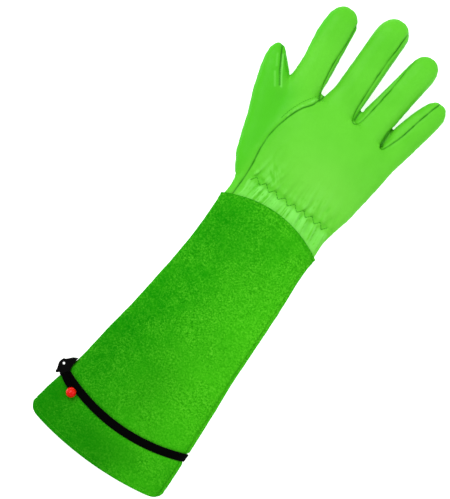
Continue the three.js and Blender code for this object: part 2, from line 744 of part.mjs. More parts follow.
const thumbFront = prism(thumbOval).intersect(lowerSide).add(prism(thumbWrap));
const thumbWrapCut = prism(growOutline(thumbWrap, SEAM_GAP));
const thumbFrontCut = prism(growOutline(thumbOval, SEAM_GAP)).add(thumbWrapCut);

// Suede patch across the palm.
const PATCH_UPPER = [
  { along: 0.85, across: 1.3 },
  { along: 0.865, across: 0.9 },
  { along: 0.925, across: 0.57 },
  { along: 0.967, across: 0.25 },
  { along: 0.975, across: 0.09 },
  { along: 0.942, across: -0.22 },
  { along: 0.909, across: -0.6 },
  { along: 0.855, across: -0.8 },
];
const PATCH_LOWER = [
  { along: 0.77, across: -0.52 },
  { along: 0.764, across: -0.3 },
  { along: 0.744, across: -0.09 },
  { along: 0.694, across: 0.02 },
  { along: 0.645, across: 0.1 },
  { along: 0.537, across: 0.57 },
  { along: 0.438, across: 0.88 },
  { along: 0.33, across: 1.0 },
  { along: 0.3, across: 1.3 },
];
const patchOutline = [...PATCH_UPPER, ...PATCH_LOWER].map(planPoint);
const innerSkin = (depth) => {
  const rows = handRows(depth, depth, depth, WRIST_TUCK + OPEN_END, -KNUCKLE_BOW);
  return toSolid(loft(rows, BODY_RING));
};
const patchZone = prism(patchOutline).intersect(lowerSide).subtract(thumbFrontCut);
const patch = outer
  .subtract(innerSkin(PATCH_LEATHER))
  .intersect(patchZone)
  .subtract(fourchetteCut);
const patchRecess = innerSkin(PATCH_LEATHER + SEAM_GAP);
const patchCut = prism(growOutline(patchOutline, SEAM_GAP)).subtract(patchRecess);

const backPanel = shell.intersect(upperSide).subtract(sideRegion(SEAM_GAP)).subtract(fourchetteCut);
const sidePanel = shell
  .intersect(upperSide)
  .intersect(sideRegion(0))
  .subtract(thumbWrapCut)
  .subtract(fourchetteCut);
const thumbPanel = shell.intersect(thumbFront);
const palmPanel = shell
  .intersect(lowerSide)
  .subtract(thumbFrontCut)
  .subtract(fourchetteCut)
  .subtract(patchCut);

// The strap lies in a shallow groove, so its face is flush with the cuff.
const GROOVE_DEPTH = STRAP_THICKNESS + SEAM_GAP;
const GROOVE_RAMP = 2;
const grooveHalf = STRAP_WIDTH / 2 + SEAM_GAP;
const strapLike = (y, depth) => ({ ...cuffRow(y, depth), bowTop: -STRAP_BOW, bowPalm: -STRAP_BOW });

function cuffRows(wall) {
  const clear = grooveHalf + GROOVE_RAMP;
  const rows = CUFF.map((row) => -row.along * CUFF_LENGTH)
    .filter((y) => Math.abs(y + STRAP_Y) > clear + SEAM_GAP)
    .map((y) => cuffRow(y));
  const groove = [
    strapLike(-STRAP_Y + clear, 0),
    strapLike(-STRAP_Y + grooveHalf, GROOVE_DEPTH),
    strapLike(-STRAP_Y - grooveHalf, GROOVE_DEPTH),
    strapLike(-STRAP_Y - clear, 0),
  ];
  const all = [...rows, ...groove].sort((a, b) => a.y - b.y);
  all[0].bowTop = -OPENING_BOW;
  all[0].bowPalm = -OPENING_BOW;
  all[0].corner = -OPENING_CORNER;
  return all.map((row) => insetRow(row, wall, wall, wall));
}

const cuff = tube(cuffRows(0), cuffRows(CUFF_LEATHER), BODY_RING);

function strapRows(lift) {
  const depth = GROOVE_DEPTH - SEAM_GAP - lift;
  return [-1, 0, 1].map((side) => strapLike(-STRAP_Y + (side * STRAP_WIDTH) / 2, depth));
}

const strap = tube(strapRows(STRAP_THICKNESS), strapRows(0), BODY_RING);

// A place on the cuff's back: a distance past the strap's middle and a share across.
function onCuff(past, across, rise) {
  const row = strapLike(-STRAP_Y - past, 0);
  const [x, y, z] = placePoint(row, { across, up: roundOff(across), fold: 0 });
  return new THREE.Vector3(x, y, z + rise);
}

// Tail: the strap's tapered free end, from the toggle to the bead.
const TAIL = [
  { across: -0.985, past: 0.21, rise: 1.7, wide: 1 },
  { across: -0.9, past: 0.4, rise: 1.15, wide: 0.92 },
  { across: -0.85, past: 0.53, rise: 1.3, wide: 0.75 },
  { across: -0.812, past: 0.63, rise: 1.9, wide: 0.5 },
];
const BEAD_RADIUS = BEAD_DIAMETER / 2;

// Shares of the bead's radius at which its bore and the neck in it end.
const BORE_END_SHARE = 0.3;
const NECK_END_SHARE = 0.4;
const BEAD_PLACE = { across: -0.746, past: 0.82 };
const beadPast = BEAD_PLACE.past * STRAP_WIDTH;
const beadCentre = onCuff(beadPast, BEAD_PLACE.across, BEAD_RADIUS + SEAM_GAP);
const tailPath = TAIL.map(({ across, past, rise, wide }) => ({
  at: onCuff(past * STRAP_WIDTH, across, rise * TAIL_THICKNESS),
  half: (wide * TAIL_WIDTH) / 2,
}));
const neckStart = tailPath[tailPath.length - 1].at;
const neckDirection = beadCentre.clone().sub(neckStart).normalize();
const neckPlace = (fromCentre) => beadCentre.clone().addScaledVector(neckDirection, -fromCentre);
tailPath.push({ at: neckPlace(BEAD_RADIUS + SEAM_GAP), half: NECK_WIDTH / 2 });
tailPath.push({ at: neckPlace(BEAD_RADIUS * NECK_END_SHARE), half: NECK_WIDTH / 2 });

// A flat band along a path, with its width level and its thickness upright.
function band(path, grow) {
  const points = [];
  const faces = [];
  const thick = TAIL_THICKNESS / 2 + grow;
  path.forEach(({ at, half }, i) => {
    const before = path[Math.max(0, i - 1)].at;
    const after = path[Math.min(path.length - 1, i + 1)].at;
    const side = new THREE.Vector3(after.y - before.y, before.x - after.x, 0).normalize();
    const out = half + grow;
    [[1, 1], [-1, 1], [-1, -1], [1, -1]].forEach(([s, u]) => {
      points.push([at.x + side.x * out * s, at.y + side.y * out * s, at.z + thick * u]);
    });
  });
  for (let i = 0; i < path.length - 1; i += 1) bandFaces(faces, i * 4, i * 4 + 4, 4);
  const last = (path.length - 1) * 4;
  faces.push([0, 1, 2], [0, 2, 3], [last, last + 2, last + 1], [last, last + 3, last + 2]);
  return makeGeometry(points, faces);
}

const tail = band(tailPath, 0);

// Bead: a ball with a blind bore that takes the neck of the tail.
const BEAD_STEPS = 8;
const BEAD_SIDES = 10;
const boreRadius = Math.hypot(NECK_WIDTH, TAIL_THICKNESS) / 2 + SEAM_GAP;
const boreAngle = Math.asin(boreRadius / BEAD_RADIUS);

function beadGeometry() {
  const profile = [
    new THREE.Vector2(0, BEAD_RADIUS * BORE_END_SHARE),
    new THREE.Vector2(boreRadius, BEAD_RADIUS * BORE_END_SHARE),
  ];
  for (let i = 0; i <= BEAD_STEPS; i += 1) {
    const angle = lerp(boreAngle, Math.PI, i / BEAD_STEPS);
    profile.push(new THREE.Vector2(BEAD_RADIUS * Math.sin(angle), BEAD_RADIUS * Math.cos(angle)));
  }
  profile[profile.length - 1].x = 0;
  const geometry = new THREE.LatheGeometry(profile.reverse(), BEAD_SIDES);
  const up = new THREE.Vector3(0, 1, 0);
  const turn = new THREE.Quaternion().setFromUnitVectors(up, neckDirection.clone().negate());
  return geometry.applyQuaternion(turn).translate(beadCentre.x, beadCentre.y, beadCentre.z);
}

// Toggle at the thumb-side edge: shares of its reach and length round the strap's edge.
const TOGGLE = [
  { reach: -0.3, along: 0.735 },
  { reach: 0.18, along: 0.62 },
  { reach: 0.45, along: 0.49 },
  { reach: 0.67, along: 0.4 },
  { reach: 0.85, along: 0.385 },
  { reach: 0.96, along: 0.265 },
  { reach: 1, along: 0.15 },
  { reach: 0.89, along: 0.02 },
  { reach: 0.78, along: -0.12 },
  { reach: 0.78, along: -0.21 },
  { reach: 0.68, along: -0.265 },
  { reach: 0.53, along: -0.235 },
  { reach: 0.38, along: -0.16 },
  { reach: 0.22, along: -0.235 },
  { reach: -0.25, along: -0.235 },
  { reach: -0.4, along: 0 },
  { reach: -0.27, along: 0.29 },
];
const TOGGLE_RISE = 0.06;
const EYE_REACH = 0.54;
const EYE_ALONG = 0.22;
const EYE_SIDES = 10;

function toggleSolid() {
  const edge = cuffRow(-STRAP_Y);
  const place = ({ reach, along }) => [
    edge.left - reach * TOGGLE_REACH,
    -STRAP_Y + along * TOGGLE_LENGTH,
  ];
  const centre = edge.mid + TOGGLE_RISE * TOGGLE_THICKNESS;
  const low = centre - TOGGLE_THICKNESS / 2;
  const block = prism(TOGGLE.map(place), low, low + TOGGLE_THICKNESS);
  const [eyeX, eyeY] = place({ reach: EYE_REACH, along: EYE_ALONG });
  const eye = Array.from({ length: EYE_SIDES }, (_, i) => {
    const angle = (i / EYE_SIDES) * 2 * Math.PI;
    return [eyeX + (TOGGLE_EYE / 2) * Math.cos(angle), eyeY + (TOGGLE_EYE / 2) * Math.sin(angle)];
  });
  const apart = TOGGLE_LENGTH / 2;
  const around = [2, 1, 0, -1, -2].map((step) => strapLike(-STRAP_Y - step * apart, -SEAM_GAP));
  return block
    .subtract(prism(eye))
    .subtract(toSolid(loft(around, BODY_RING)))
    .subtract(toSolid(band(tailPath, SEAM_GAP)));
}

// Materials
const leather = (color, roughness) => (
  new THREE.MeshStandardMaterial({ color, roughness, metalness: 0 })
);
const LIME = '#5fd633';
const DEEP_LIME = '#52c62c';
const SUEDE = '#2f9d1c';
const PATCH_GREEN = '#2b8a4a';
const BLACK = '#0d0d0f';
const RED = '#e2210f';

const pieces = [
  ['back_panel', toGeometry(backPanel), leather(LIME, 0.5)],
  ['side_panel', toGeometry(sidePanel), leather(LIME, 0.5)],
  ['palm_panel', toGeometry(palmPanel), leather(LIME, 0.5)],
  ['thumb_panel', toGeometry(thumbPanel), leather(LIME, 0.5)],
  ['palm_patch', toGeometry(patch), leather(PATCH_GREEN, 0.95)],
  ...fourchettes.map(({ name, solid }) => [name, toGeometry(solid), leather(DEEP_LIME, 0.5)]),
  ['cuff', cuff, leather(SUEDE, 0.9)],
  ['cuff_strap', strap, leather(BLACK, 0.7)],
  ['strap_toggle', toGeometry(toggleSolid()), leather(BLACK, 0.35)],
  ['strap_tail', tail, leather(BLACK, 0.6)],
  ['tail_bead', beadGeometry(), leather(RED, 0.15)],
];

// The origin is under the middle of the whole gauntlet, on the surface that it lies on.
const group = new THREE.Group();
pieces.forEach(([name, geometry, material]) => {
  const mesh = new THREE.Mesh(geometry, material);
  mesh.name = name;
  group.add(mesh);
});
const bounds = new THREE.Box3().setFromObject(group);
const middlePoint = bounds.getCenter(new THREE.Vector3());
group.position.set(-middlePoint.x, -middlePoint.y, -bounds.min.z);

export default group;
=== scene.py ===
"""A rose pruning gauntlet for the right hand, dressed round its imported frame."""

import logging
import math
from dataclasses import dataclass, field
from enum import Enum, IntEnum

import bpy
import numpy as np
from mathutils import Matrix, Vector
from mathutils.bvhtree import BVHTree
from mathutils.kdtree import KDTree


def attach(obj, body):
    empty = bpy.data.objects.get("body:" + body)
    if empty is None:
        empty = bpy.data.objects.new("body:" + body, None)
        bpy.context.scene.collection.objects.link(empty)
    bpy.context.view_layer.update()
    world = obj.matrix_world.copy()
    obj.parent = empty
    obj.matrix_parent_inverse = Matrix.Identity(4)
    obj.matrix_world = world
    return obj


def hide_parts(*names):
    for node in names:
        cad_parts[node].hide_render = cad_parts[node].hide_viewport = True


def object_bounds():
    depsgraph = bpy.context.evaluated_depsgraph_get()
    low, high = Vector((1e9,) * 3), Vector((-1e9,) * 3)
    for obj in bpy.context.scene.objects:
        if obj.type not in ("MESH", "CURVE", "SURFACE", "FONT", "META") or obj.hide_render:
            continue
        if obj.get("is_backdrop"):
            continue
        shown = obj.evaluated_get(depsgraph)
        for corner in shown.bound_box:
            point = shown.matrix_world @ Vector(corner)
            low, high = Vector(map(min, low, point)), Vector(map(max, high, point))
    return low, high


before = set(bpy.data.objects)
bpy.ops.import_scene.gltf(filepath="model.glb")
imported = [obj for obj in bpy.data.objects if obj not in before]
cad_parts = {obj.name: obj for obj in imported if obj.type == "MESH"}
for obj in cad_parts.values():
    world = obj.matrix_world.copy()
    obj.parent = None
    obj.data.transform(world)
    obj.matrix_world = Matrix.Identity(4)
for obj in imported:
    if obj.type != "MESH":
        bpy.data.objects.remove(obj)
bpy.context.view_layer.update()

log = logging.getLogger("gauntlet")

MM = 0.001
BODY = "root"
Array = np.ndarray
Colour = tuple[float, float, float]
Path = tuple[tuple[float, float], ...]
Shade = tuple[int, int, int]

# From the source's own frame to the row frame, in millimetres.
SHIFT = np.array([10.27, 23.57])
# From the grid laid over the picture to the row frame, in millimetres.
GRID_SHIFT = np.array([16.52, -95.43])
# Whole numbers that scatter the knots of the noise.
KNOT_PRIMES = np.array([73856093, 19349663, 83492791])
SEED_PRIME = 2654435
STIR_PRIME = 1274126177
# Marks along a row of stitches: so many to a stitch, and the one where its thread goes in.
STITCH_MARKS = 8
LAST_MARK = 7


class Pattern(IntEnum):
    """The seed of each pattern of noise in the shapes."""

    SEAM_PULL = 3
    SEAM_PUCKERS = 4
    SEAM_ROUGH = 5
    SKIN_BROAD = 6
    SKIN_FINE = 7
    GATHER_LEAN = 11
    GATHER_COARSE = 12
    GATHER_FINE = 13
    CUFF_WAVES = 21
    CUFF_RIPPLES = 22
    CUFF_NAP = 23
    CUFF_GLOOM = 24
    BAND_RIPPLE = 31
    SEAM_PATCHY = 32
    PLEAT_STRAIGHT = 33
    PLEAT_SLANTED = 34
    PLEAT_SOFT = 35
    GRAIN = 36
    PALM_FOLDS = 37


def linear(red: int, green: int, blue: int) -> tuple[float, float, float, float]:
    """Turns a display colour of 0 to 255 into a linear one.

    Args:
        red: the display red.
        green: the display green.
        blue: the display blue.

    Returns:
        The linear colour with an alpha of one.
    """
    parts = [value / 255 for value in (red, green, blue)]
    made = [p / 12.92 if p <= 0.04045 else ((p + 0.055) / 1.055) ** 2.4 for p in parts]
    return (made[0], made[1], made[2], 1.0)


def value_noise(points: Array, size: float, seed: int) -> Array:
    """Smooth noise from -1 to 1 that is the same on every run.

    Args:
        points: places, one row each, in any number of columns up to three.
        size: the distance between the noise's knots, in the points' own unit.
        seed: a whole number that picks the pattern.

    Returns:
        One value a point.
    """
    grid = np.atleast_2d(points) / size
    if grid.shape[1] < 3:
        grid = np.pad(grid, ((0, 0), (0, 3 - grid.shape[1])))
    cell = np.floor(grid).astype(np.int64)
    part = grid - cell
    part = part * part * (3 - 2 * part)
    total = np.zeros(len(grid))
    for corner in range(8):
        offset = np.array([corner & 1, corner >> 1 & 1, corner >> 2 & 1])
        knot = (cell + offset) * KNOT_PRIMES
        mixed = knot[:, 0] ^ knot[:, 1] ^ knot[:, 2] ^ seed * SEED_PRIME
        mixed = (mixed ^ (mixed >> 13)) * STIR_PRIME & 0xFFFFFFFF
        mixed = mixed ^ (mixed >> 16)
        weight = np.prod(np.where(offset, part, 1 - part), axis=1)
        total += weight * ((mixed & 0xFFFF) / 32767.5 - 1)
    return total


def smooth_table(table: Array, at: Array) -> Array:
    """Reads a table of rows with a smooth curve that doesn't overshoot.

    Args:
        table: rows whose first column rises.
        at: values of the first column.

    Returns:
        The other columns, one row a value.
    """
    keys, values = table[:, 0], table[:, 1:]
    slope = np.diff(values, axis=0) / np.diff(keys)[:, None]
    before, after = slope[:-1], slope[1:]
    with np.errstate(divide="ignore", invalid="ignore"):
        middle = np.where(before * after > 0, 2 * before * after / (before + after), 0)
    tangent = np.vstack([slope[:1], middle, slope[-1:]])
    at = np.clip(np.atleast_1d(at), keys[0], keys[-1])
    row = np.clip(np.searchsorted(keys, at) - 1, 0, len(keys) - 2)
    span = (keys[row + 1] - keys[row])[:, None]
    t = ((at - keys[row])[:, None]) / span
    return (
        (2 * t**3 - 3 * t**2 + 1) * values[row]
        + (t**3 - 2 * t**2 + t) * span * tangent[row]
        + (3 * t**2 - 2 * t**3) * values[row + 1]
        + (t**3 - t**2) * span * tangent[row + 1]
    )


def bell(distance: Array, width: float) -> Array:
    """A rounded bump of height one, width wide on each side."""
    return np.exp(-((distance / width) ** 2))


def step(value: Array, low: float, high: float) -> Array:
    """A smooth rise from nought at low to one at high."""
    t = np.clip((value - low) / (high - low), 0, 1)
    return t * t * (3 - 2 * t)


def run_along(points: Array) -> Array:
    """The length of a line of straight legs up to each of its points."""
    return np.concatenate([[0], np.cumsum(np.linalg.norm(np.diff(points, axis=0), axis=1))])


def stitch_marks(points: Array, count: int) -> Array:
    """Spreads marks evenly along a line, a few to a stitch.

    Args:
        points: the line's points, one row each.
        count: how many stitches it takes.

    Returns:
        The marks' places, one row each.
    """
    run = run_along(points)
    marks = np.linspace(0, run[-1], count * STITCH_MARKS + 1)
    return np.stack([np.interp(marks, run, column) for column in points.T], axis=1)


def neighbour_mean(values: Array, edges: Array) -> tuple[Array, Array]:
    """The mean of each point's neighbours along some edges.

    Args:
        values: one row a point.
        edges: the numbers of two joined points, one row an edge.

    Returns:
        The means, and how many neighbours each point has.
    """
    a, b = edges.T
    size = len(values)
    count = np.bincount(a, minlength=size) + np.bincount(b, minlength=size)
    columns = [
        np.bincount(a, column[b], size) + np.bincount(b, column[a], size) for column in values.T
    ]
    return np.stack(columns, axis=1) / np.maximum(count, 1)[:, None], count


def select_only(piece: bpy.types.Object) -> None:
    """Selects one object and makes it the active one."""
    bpy.ops.object.select_all(action="DESELECT")
    piece.select_set(True)
    bpy.context.view_layer.objects.active = piece


def apply_modifiers(piece: bpy.types.Object) -> None:
    """Applies every modifier of an object, in order."""
    select_only(piece)
    for modifier in list(piece.modifiers):
        bpy.ops.object.modifier_apply(modifier=modifier.name)


def add_piece(name: str, points: Array, faces: list | Array) -> bpy.types.Object:
    """Makes an object from points and faces, with its place in its mesh.

    Args:
        name: the piece's name.
        points: its points, in metres.
        faces: its faces, as lists of point numbers.

    Returns:
        The new object.
    """
    mesh = bpy.data.meshes.new(name)
    rows = faces.tolist() if isinstance(faces, Array) else faces
    mesh.from_pydata(points.tolist(), [], rows)
    mesh.update()
    piece = bpy.data.objects.new(name, mesh)
    bpy.context.scene.collection.objects.link(piece)
    return piece


def finish_piece(
    piece: bpy.types.Object, material: bpy.types.Material, nodes: list[str]
) -> bpy.types.Object:
    """Dresses a piece, shades it smooth and rides it on the gauntlet.

    Args:
        piece: the object.
        material: its finish.
        nodes: the solids that it stands for.

    Returns:
        The same object.
    """
    piece.data.materials.clear()
    piece.data.materials.append(material)
    piece.data.polygons.foreach_set("use_smooth", [True] * len(piece.data.polygons))
    if nodes:
        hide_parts(*nodes)
    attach(piece, BODY)
    log.info("%s: %d faces", piece.name, len(piece.data.polygons))
    return piece


def carry(piece: bpy.types.Object, name: str, values: Array) -> None:
    """Gives each point of a piece a number that its finish reads."""
    made = piece.data.attributes.new(name, "FLOAT", "POINT")
    made.data.foreach_set("value", values.astype(np.float32))


def read_points(mesh: bpy.types.Mesh) -> Array:
    """The points of a mesh, one row each."""
    points = np.empty(len(mesh.vertices) * 3)
    mesh.vertices.foreach_get("co", points)
    return points.reshape(-1, 3)


def read_mesh(piece: bpy.types.Object) -> tuple[Array, Array]:
    """Reads an object's mesh.

    Args:
        piece: the object.

    Returns:
        Its points and its triangles, one row each.
    """
    mesh = piece.data
    mesh.calc_loop_triangles()
    faces = np.empty(len(mesh.loop_triangles) * 3, dtype=np.int64)
    mesh.loop_triangles.foreach_get("vertices", faces)
    return read_points(mesh), faces.reshape(-1, 3)


def make_tree(points: Array, faces: Array) -> BVHTree:
    """A search tree over a mesh."""
    return BVHTree.FromPolygons(points.tolist(), faces.tolist())


class Skin:
    """A mesh held as arrays: points in metres and faces of four corners."""

    def __init__(self, points: Array, faces: Array) -> None:
        """Keeps the arrays and finds the edges.

        Args:
            points: the points, in metres.
            faces: the faces, each of four point numbers.
        """
        self.points = points
        self.faces = faces
        corners = np.stack([faces, np.roll(faces, -1, axis=1)], axis=2).reshape(-1, 2)
        self.edges, where = np.unique(np.sort(corners, axis=1), axis=0, return_inverse=True)
        where = where.reshape(-1)
        owner = np.repeat(np.arange(len(faces)), 4)
        self.edge_faces = np.zeros((len(self.edges), 2), dtype=np.int64)
        self.edge_faces[where, 0] = owner
        self.edge_faces[where[::-1], 1] = owner[::-1]

    def spread(self, values: Array) -> Array:
        """The mean of each point's neighbours."""
        return neighbour_mean(values, self.edges)[0]

    def even_out(self, rounds: int, shrink: float = 0.5, grow: float = 0.52) -> None:
        """Takes facets out of the surface without making it smaller."""
        for _ in range(rounds):
            for share in (shrink, -grow):
                self.points = self.points + share * (self.spread(self.points) - self.points)

    def face_normals(self) -> Array:
        """Each face's normal, twice as long as its area."""
        corner = self.points[self.faces]
        return np.cross(corner[:, 2] - corner[:, 0], corner[:, 3] - corner[:, 1])

    def normals(self) -> Array:
        """The way each point faces.

        Returns:
            The normals, of length one.
        """
        face = np.repeat(self.face_normals(), 4, axis=0)
        flat = self.faces.reshape(-1)
        size = len(self.points)
        total = np.stack([np.bincount(flat, face[:, k], size) for k in range(3)], axis=1)
        return total / np.maximum(np.linalg.norm(total, axis=1), 1e-12)[:, None]

    def islands(self) -> Array:
        """A number for each point that is the same for joined points."""
        label = np.arange(len(self.points))
        while True:
            ends = label[self.edges]
            low = ends.min(axis=1)
            new = label.copy()
            np.minimum.at(new, ends[:, 0], low)
            np.minimum.at(new, ends[:, 1], low)
            new = new[new]
            if np.array_equal(new, label):
                return label
            label = new

    def biggest_island(self) -> "Skin":
        """The skin of the island with the most points."""
        island = self.islands()
        return self.part(island[self.faces[:, 0]] == np.bincount(island).argmax())[0]

    def part(self, faces: Array) -> tuple["Skin", Array]:
        """The skin of some of the faces.

        Args:
            faces: a mask over the faces.

        Returns:
            The new skin and the numbers of its points in this one.
        """
        kept = self.faces[faces]
        used, rows = np.unique(kept, return_inverse=True)
        return Skin(self.points[used], rows.reshape(kept.shape)), used


def remesh(piece: bpy.types.Object, voxel: float) -> Skin:
    """Remeshes an object into even faces of four corners, and deletes it.

    Args:
        piece: the object, of closed shapes that may overlap.
        voxel: the size of the new faces, in metres.

    Returns:
        The new skin.
    """
    modifier = piece.modifiers.new("remesh", "REMESH")
    modifier.mode = "VOXEL"
    modifier.voxel_size = voxel
    apply_modifiers(piece)
    points = read_points(piece.data)
    faces = np.empty(len(piece.data.loops), dtype=np.int64)
    piece.data.loops.foreach_get("vertex_index", faces)
    bpy.data.objects.remove(piece)
    return Skin(points, faces.reshape(-1, 4))


class Recipe:
    """A material's nodes, with short calls that add and link them."""

    def __init__(self, name: str, roughness: float) -> None:
        """Makes the material.

        Args:
            name: its name.
            roughness: its roughness, the same all over until a pattern replaces it.
        """
        self.material = bpy.data.materials.new(name)
        self.material.use_nodes = True
        self.tree = self.material.node_tree
        self.shader = self.tree.nodes["Principled BSDF"]
        self.shader.inputs["Roughness"].default_value = roughness
        self.place = self.tree.nodes.new("ShaderNodeTexCoord").outputs["Object"]

    def put(self, socket: bpy.types.NodeSocket, value: object) -> None:
        """Links a socket, or sets its value."""
        if isinstance(value, bpy.types.NodeSocket):
            self.tree.links.new(value, socket)
        else:
            socket.default_value = value

    def noise(
        self, size: float, detail: float = 3, rough: float = 0.55, stretch: Colour | None = None
    ) -> bpy.types.NodeSocket:
        """Noise whose blotches are about size millimetres across.

        Args:
            size: the blotches' size in millimetres.
            detail: how many finer layers it has.
            rough: how strong they are.
            stretch: how much finer it is along each axis.

        Returns:
            The noise from nought to one.
        """
        made = self.tree.nodes.new("ShaderNodeTexNoise")
        made.inputs["Scale"].default_value = 1 / (size * MM)
        made.inputs["Detail"].default_value = detail
        made.inputs["Roughness"].default_value = rough
        place = self.place
        if stretch:
            mapping = self.tree.nodes.new("ShaderNodeMapping")
            mapping.inputs["Scale"].default_value = stretch
            self.put(mapping.inputs["Vector"], place)
            place = mapping.outputs["Vector"]
        self.put(made.inputs["Vector"], place)
        return made.outputs["Fac"]

    def cells(self, size: float) -> bpy.types.NodeSocket:
        """Cells, such as the pebbles of a grain.

        Args:
            size: how many millimetres they are across.

        Returns:
            The distance from their edges.
        """
        made = self.tree.nodes.new("ShaderNodeTexVoronoi")
        made.feature = "DISTANCE_TO_EDGE"
        made.inputs["Scale"].default_value = 1 / (size * MM)
        self.put(made.inputs["Vector"], self.place)
        return made.outputs["Distance"]

    def attribute(self, name: str) -> bpy.types.NodeSocket:
        """The number that the mesh carries at each point under a name."""
        made = self.tree.nodes.new("ShaderNodeAttribute")
        made.attribute_name = name
        return made.outputs["Fac"]

    def remap(
        self, value: bpy.types.NodeSocket, span: tuple[float, float], to: tuple[float, float]
    ) -> bpy.types.NodeSocket:
        """Moves a value from one range to another and stops at its ends.

        Args:
            value: the value.
            span: the range that it comes from.
            to: the range that it goes to.

        Returns:
            The moved value.
        """
        made = self.tree.nodes.new("ShaderNodeMapRange")
        self.put(made.inputs["Value"], value)
        for name, number in zip(("From Min", "From Max", "To Min", "To Max"), (*span, *to)):
            made.inputs[name].default_value = number
        return made.outputs["Result"]

    def maths(self, kind: str, a: object, b: object) -> bpy.types.NodeSocket:
        """Works out one value from two.

        Args:
            kind: the sum's kind, in Blender's words.
            a: the first value.
            b: the second value.

        Returns:
            The result.
        """
        made = self.tree.nodes.new("ShaderNodeMath")
        made.operation = kind
        self.put(made.inputs[0], a)
        self.put(made.inputs[1], b)
        return made.outputs[0]

    def mix(self, share: object, a: object, b: object) -> bpy.types.NodeSocket:
        """Turns one colour into another.

        Args:
            share: how far, from nought to one.
            a: the colour at nought.
            b: the colour at one.

        Returns:
            The mixed colour.
        """
        made = self.tree.nodes.new("ShaderNodeMix")
        made.data_type = "RGBA"
        for place, value in ((0, share), (6, a), (7, b)):
            self.put(made.inputs[place], value)
        return made.outputs[2]

    def bump(self, height: object, depth: float, strength: float, under: object = None) -> object:
        """Relief from a height, depth millimetres deep.

        Args:
            height: the height from nought to one.
            depth: the relief's depth in millimetres.
            strength: its share of that depth.
            under: a coarser relief that this one lies on.

        Returns:
            The new normal.
        """
        made = self.tree.nodes.new("ShaderNodeBump")
        made.inputs["Distance"].default_value = depth * MM
        made.inputs["Strength"].default_value = strength
        self.put(made.inputs["Height"], height)
        if under is not None:
            self.put(made.inputs["Normal"], under)
        return made.outputs["Normal"]

    def dress(self, colour: object, normal: object, **values: float) -> bpy.types.Material:
        """Ends the recipe.

        Args:
            colour: the base colour.
            normal: the relief.
            values: plain values of the shader's other sockets.

        Returns:
            The material.
        """
        self.put(self.shader.inputs["Base Color"], colour)
        self.put(self.shader.inputs["Normal"], normal)
        for name, number in values.items():
            self.shader.inputs[name.replace("_", " ")].default_value = number
        return self.material


@dataclass(frozen=True)
class GrainLeather:
    """Smooth goat leather with a fine grain, darker down in its seams, with painted highlights on
    its ridges and painted shade in its folds and creases and on its steep sides.
    """

    name: str = "grain_leather"
    light: Shade = (92, 194, 42)
    deep: Shade = (82, 184, 32)
    shade: Shade = (58, 176, 10)
    # The colour of the paler tone over the middle of the back.
    wear_and_painted_light: Shade = (106, 198, 58)
    # The colour of the painted highlights on ridges.
    ridge_light_and_crease_shade: Shade = (120, 216, 88)
    seam: Shade = (30, 120, 0)

    def make(self) -> bpy.types.Material:
        """Builds the material.

        Returns:
            The finished material.
        """
        recipe = Recipe(self.name, 0.46)
        clouds = recipe.remap(recipe.noise(34, 3), (0.35, 0.65), (0, 1))
        fine = recipe.remap(recipe.noise(2.2, 4, 0.6), (0.3, 0.7), (0, 0.45))
        share = recipe.maths("MAXIMUM", recipe.maths("MULTIPLY", clouds, 0.8), fine)
        colour = recipe.mix(share, linear(*self.light), linear(*self.deep))
        # The tone: paler and deeper patches, with painted shade on the steep sides.
        tone = recipe.attribute("tone")
        colour = recipe.mix(recipe.remap(tone, (0, 1), (0, 1)), colour, linear(*self.wear_and_painted_light))
        colour = recipe.mix(recipe.remap(tone, (0, -1), (0, 1)), colour, linear(*self.shade))
        # Painted highlights on ridges, and painted shade in creases.
        ridge_light_and_crease_shade = recipe.attribute("ridge_light_and_crease_shade")
        colour = recipe.mix(recipe.remap(ridge_light_and_crease_shade, (0, 1), (0, 0.9)), colour, linear(*self.ridge_light_and_crease_shade))
        colour = recipe.mix(recipe.remap(ridge_light_and_crease_shade, (0, -1), (0, 0.6)), colour, linear(*self.shade))
        # The seam attribute holds the dark seam lines and the painted shade of the folds.
        near = recipe.remap(recipe.attribute("seam"), (0.06, 0.85), (0, 1))
        colour = recipe.mix(near, colour, linear(*self.seam))
        # Roughness that varies over the leather, with no light painted in it.
        wear_and_painted_light = recipe.remap(recipe.noise(6, 3), (0.3, 0.7), (0.4, 0.55))
        recipe.put(recipe.shader.inputs["Roughness"], wear_and_painted_light)
        pebbles = recipe.remap(recipe.cells(1.6), (0, 0.22), (1, 0))
        gaps = recipe.maths("MULTIPLY", pebbles, recipe.attribute("grain"))
        colour = recipe.mix(recipe.maths("MULTIPLY", gaps, 0.5), colour, linear(*self.shade))
        grain = recipe.remap(recipe.cells(1.15), (0, 0.28), (0, 1))
        relief = recipe.bump(grain, 0.06, 0.5)
        relief = recipe.bump(recipe.maths("SUBTRACT", 1, gaps), 0.22, 0.7, relief)
        relief = recipe.bump(recipe.noise(0.5, 3), 0.05, 0.4, relief)
        relief = recipe.bump(recipe.noise(7, 3, 0.6), 0.5, 0.28, relief)
        return recipe.dress(colour, relief, Specular_IOR_Level=0.12)


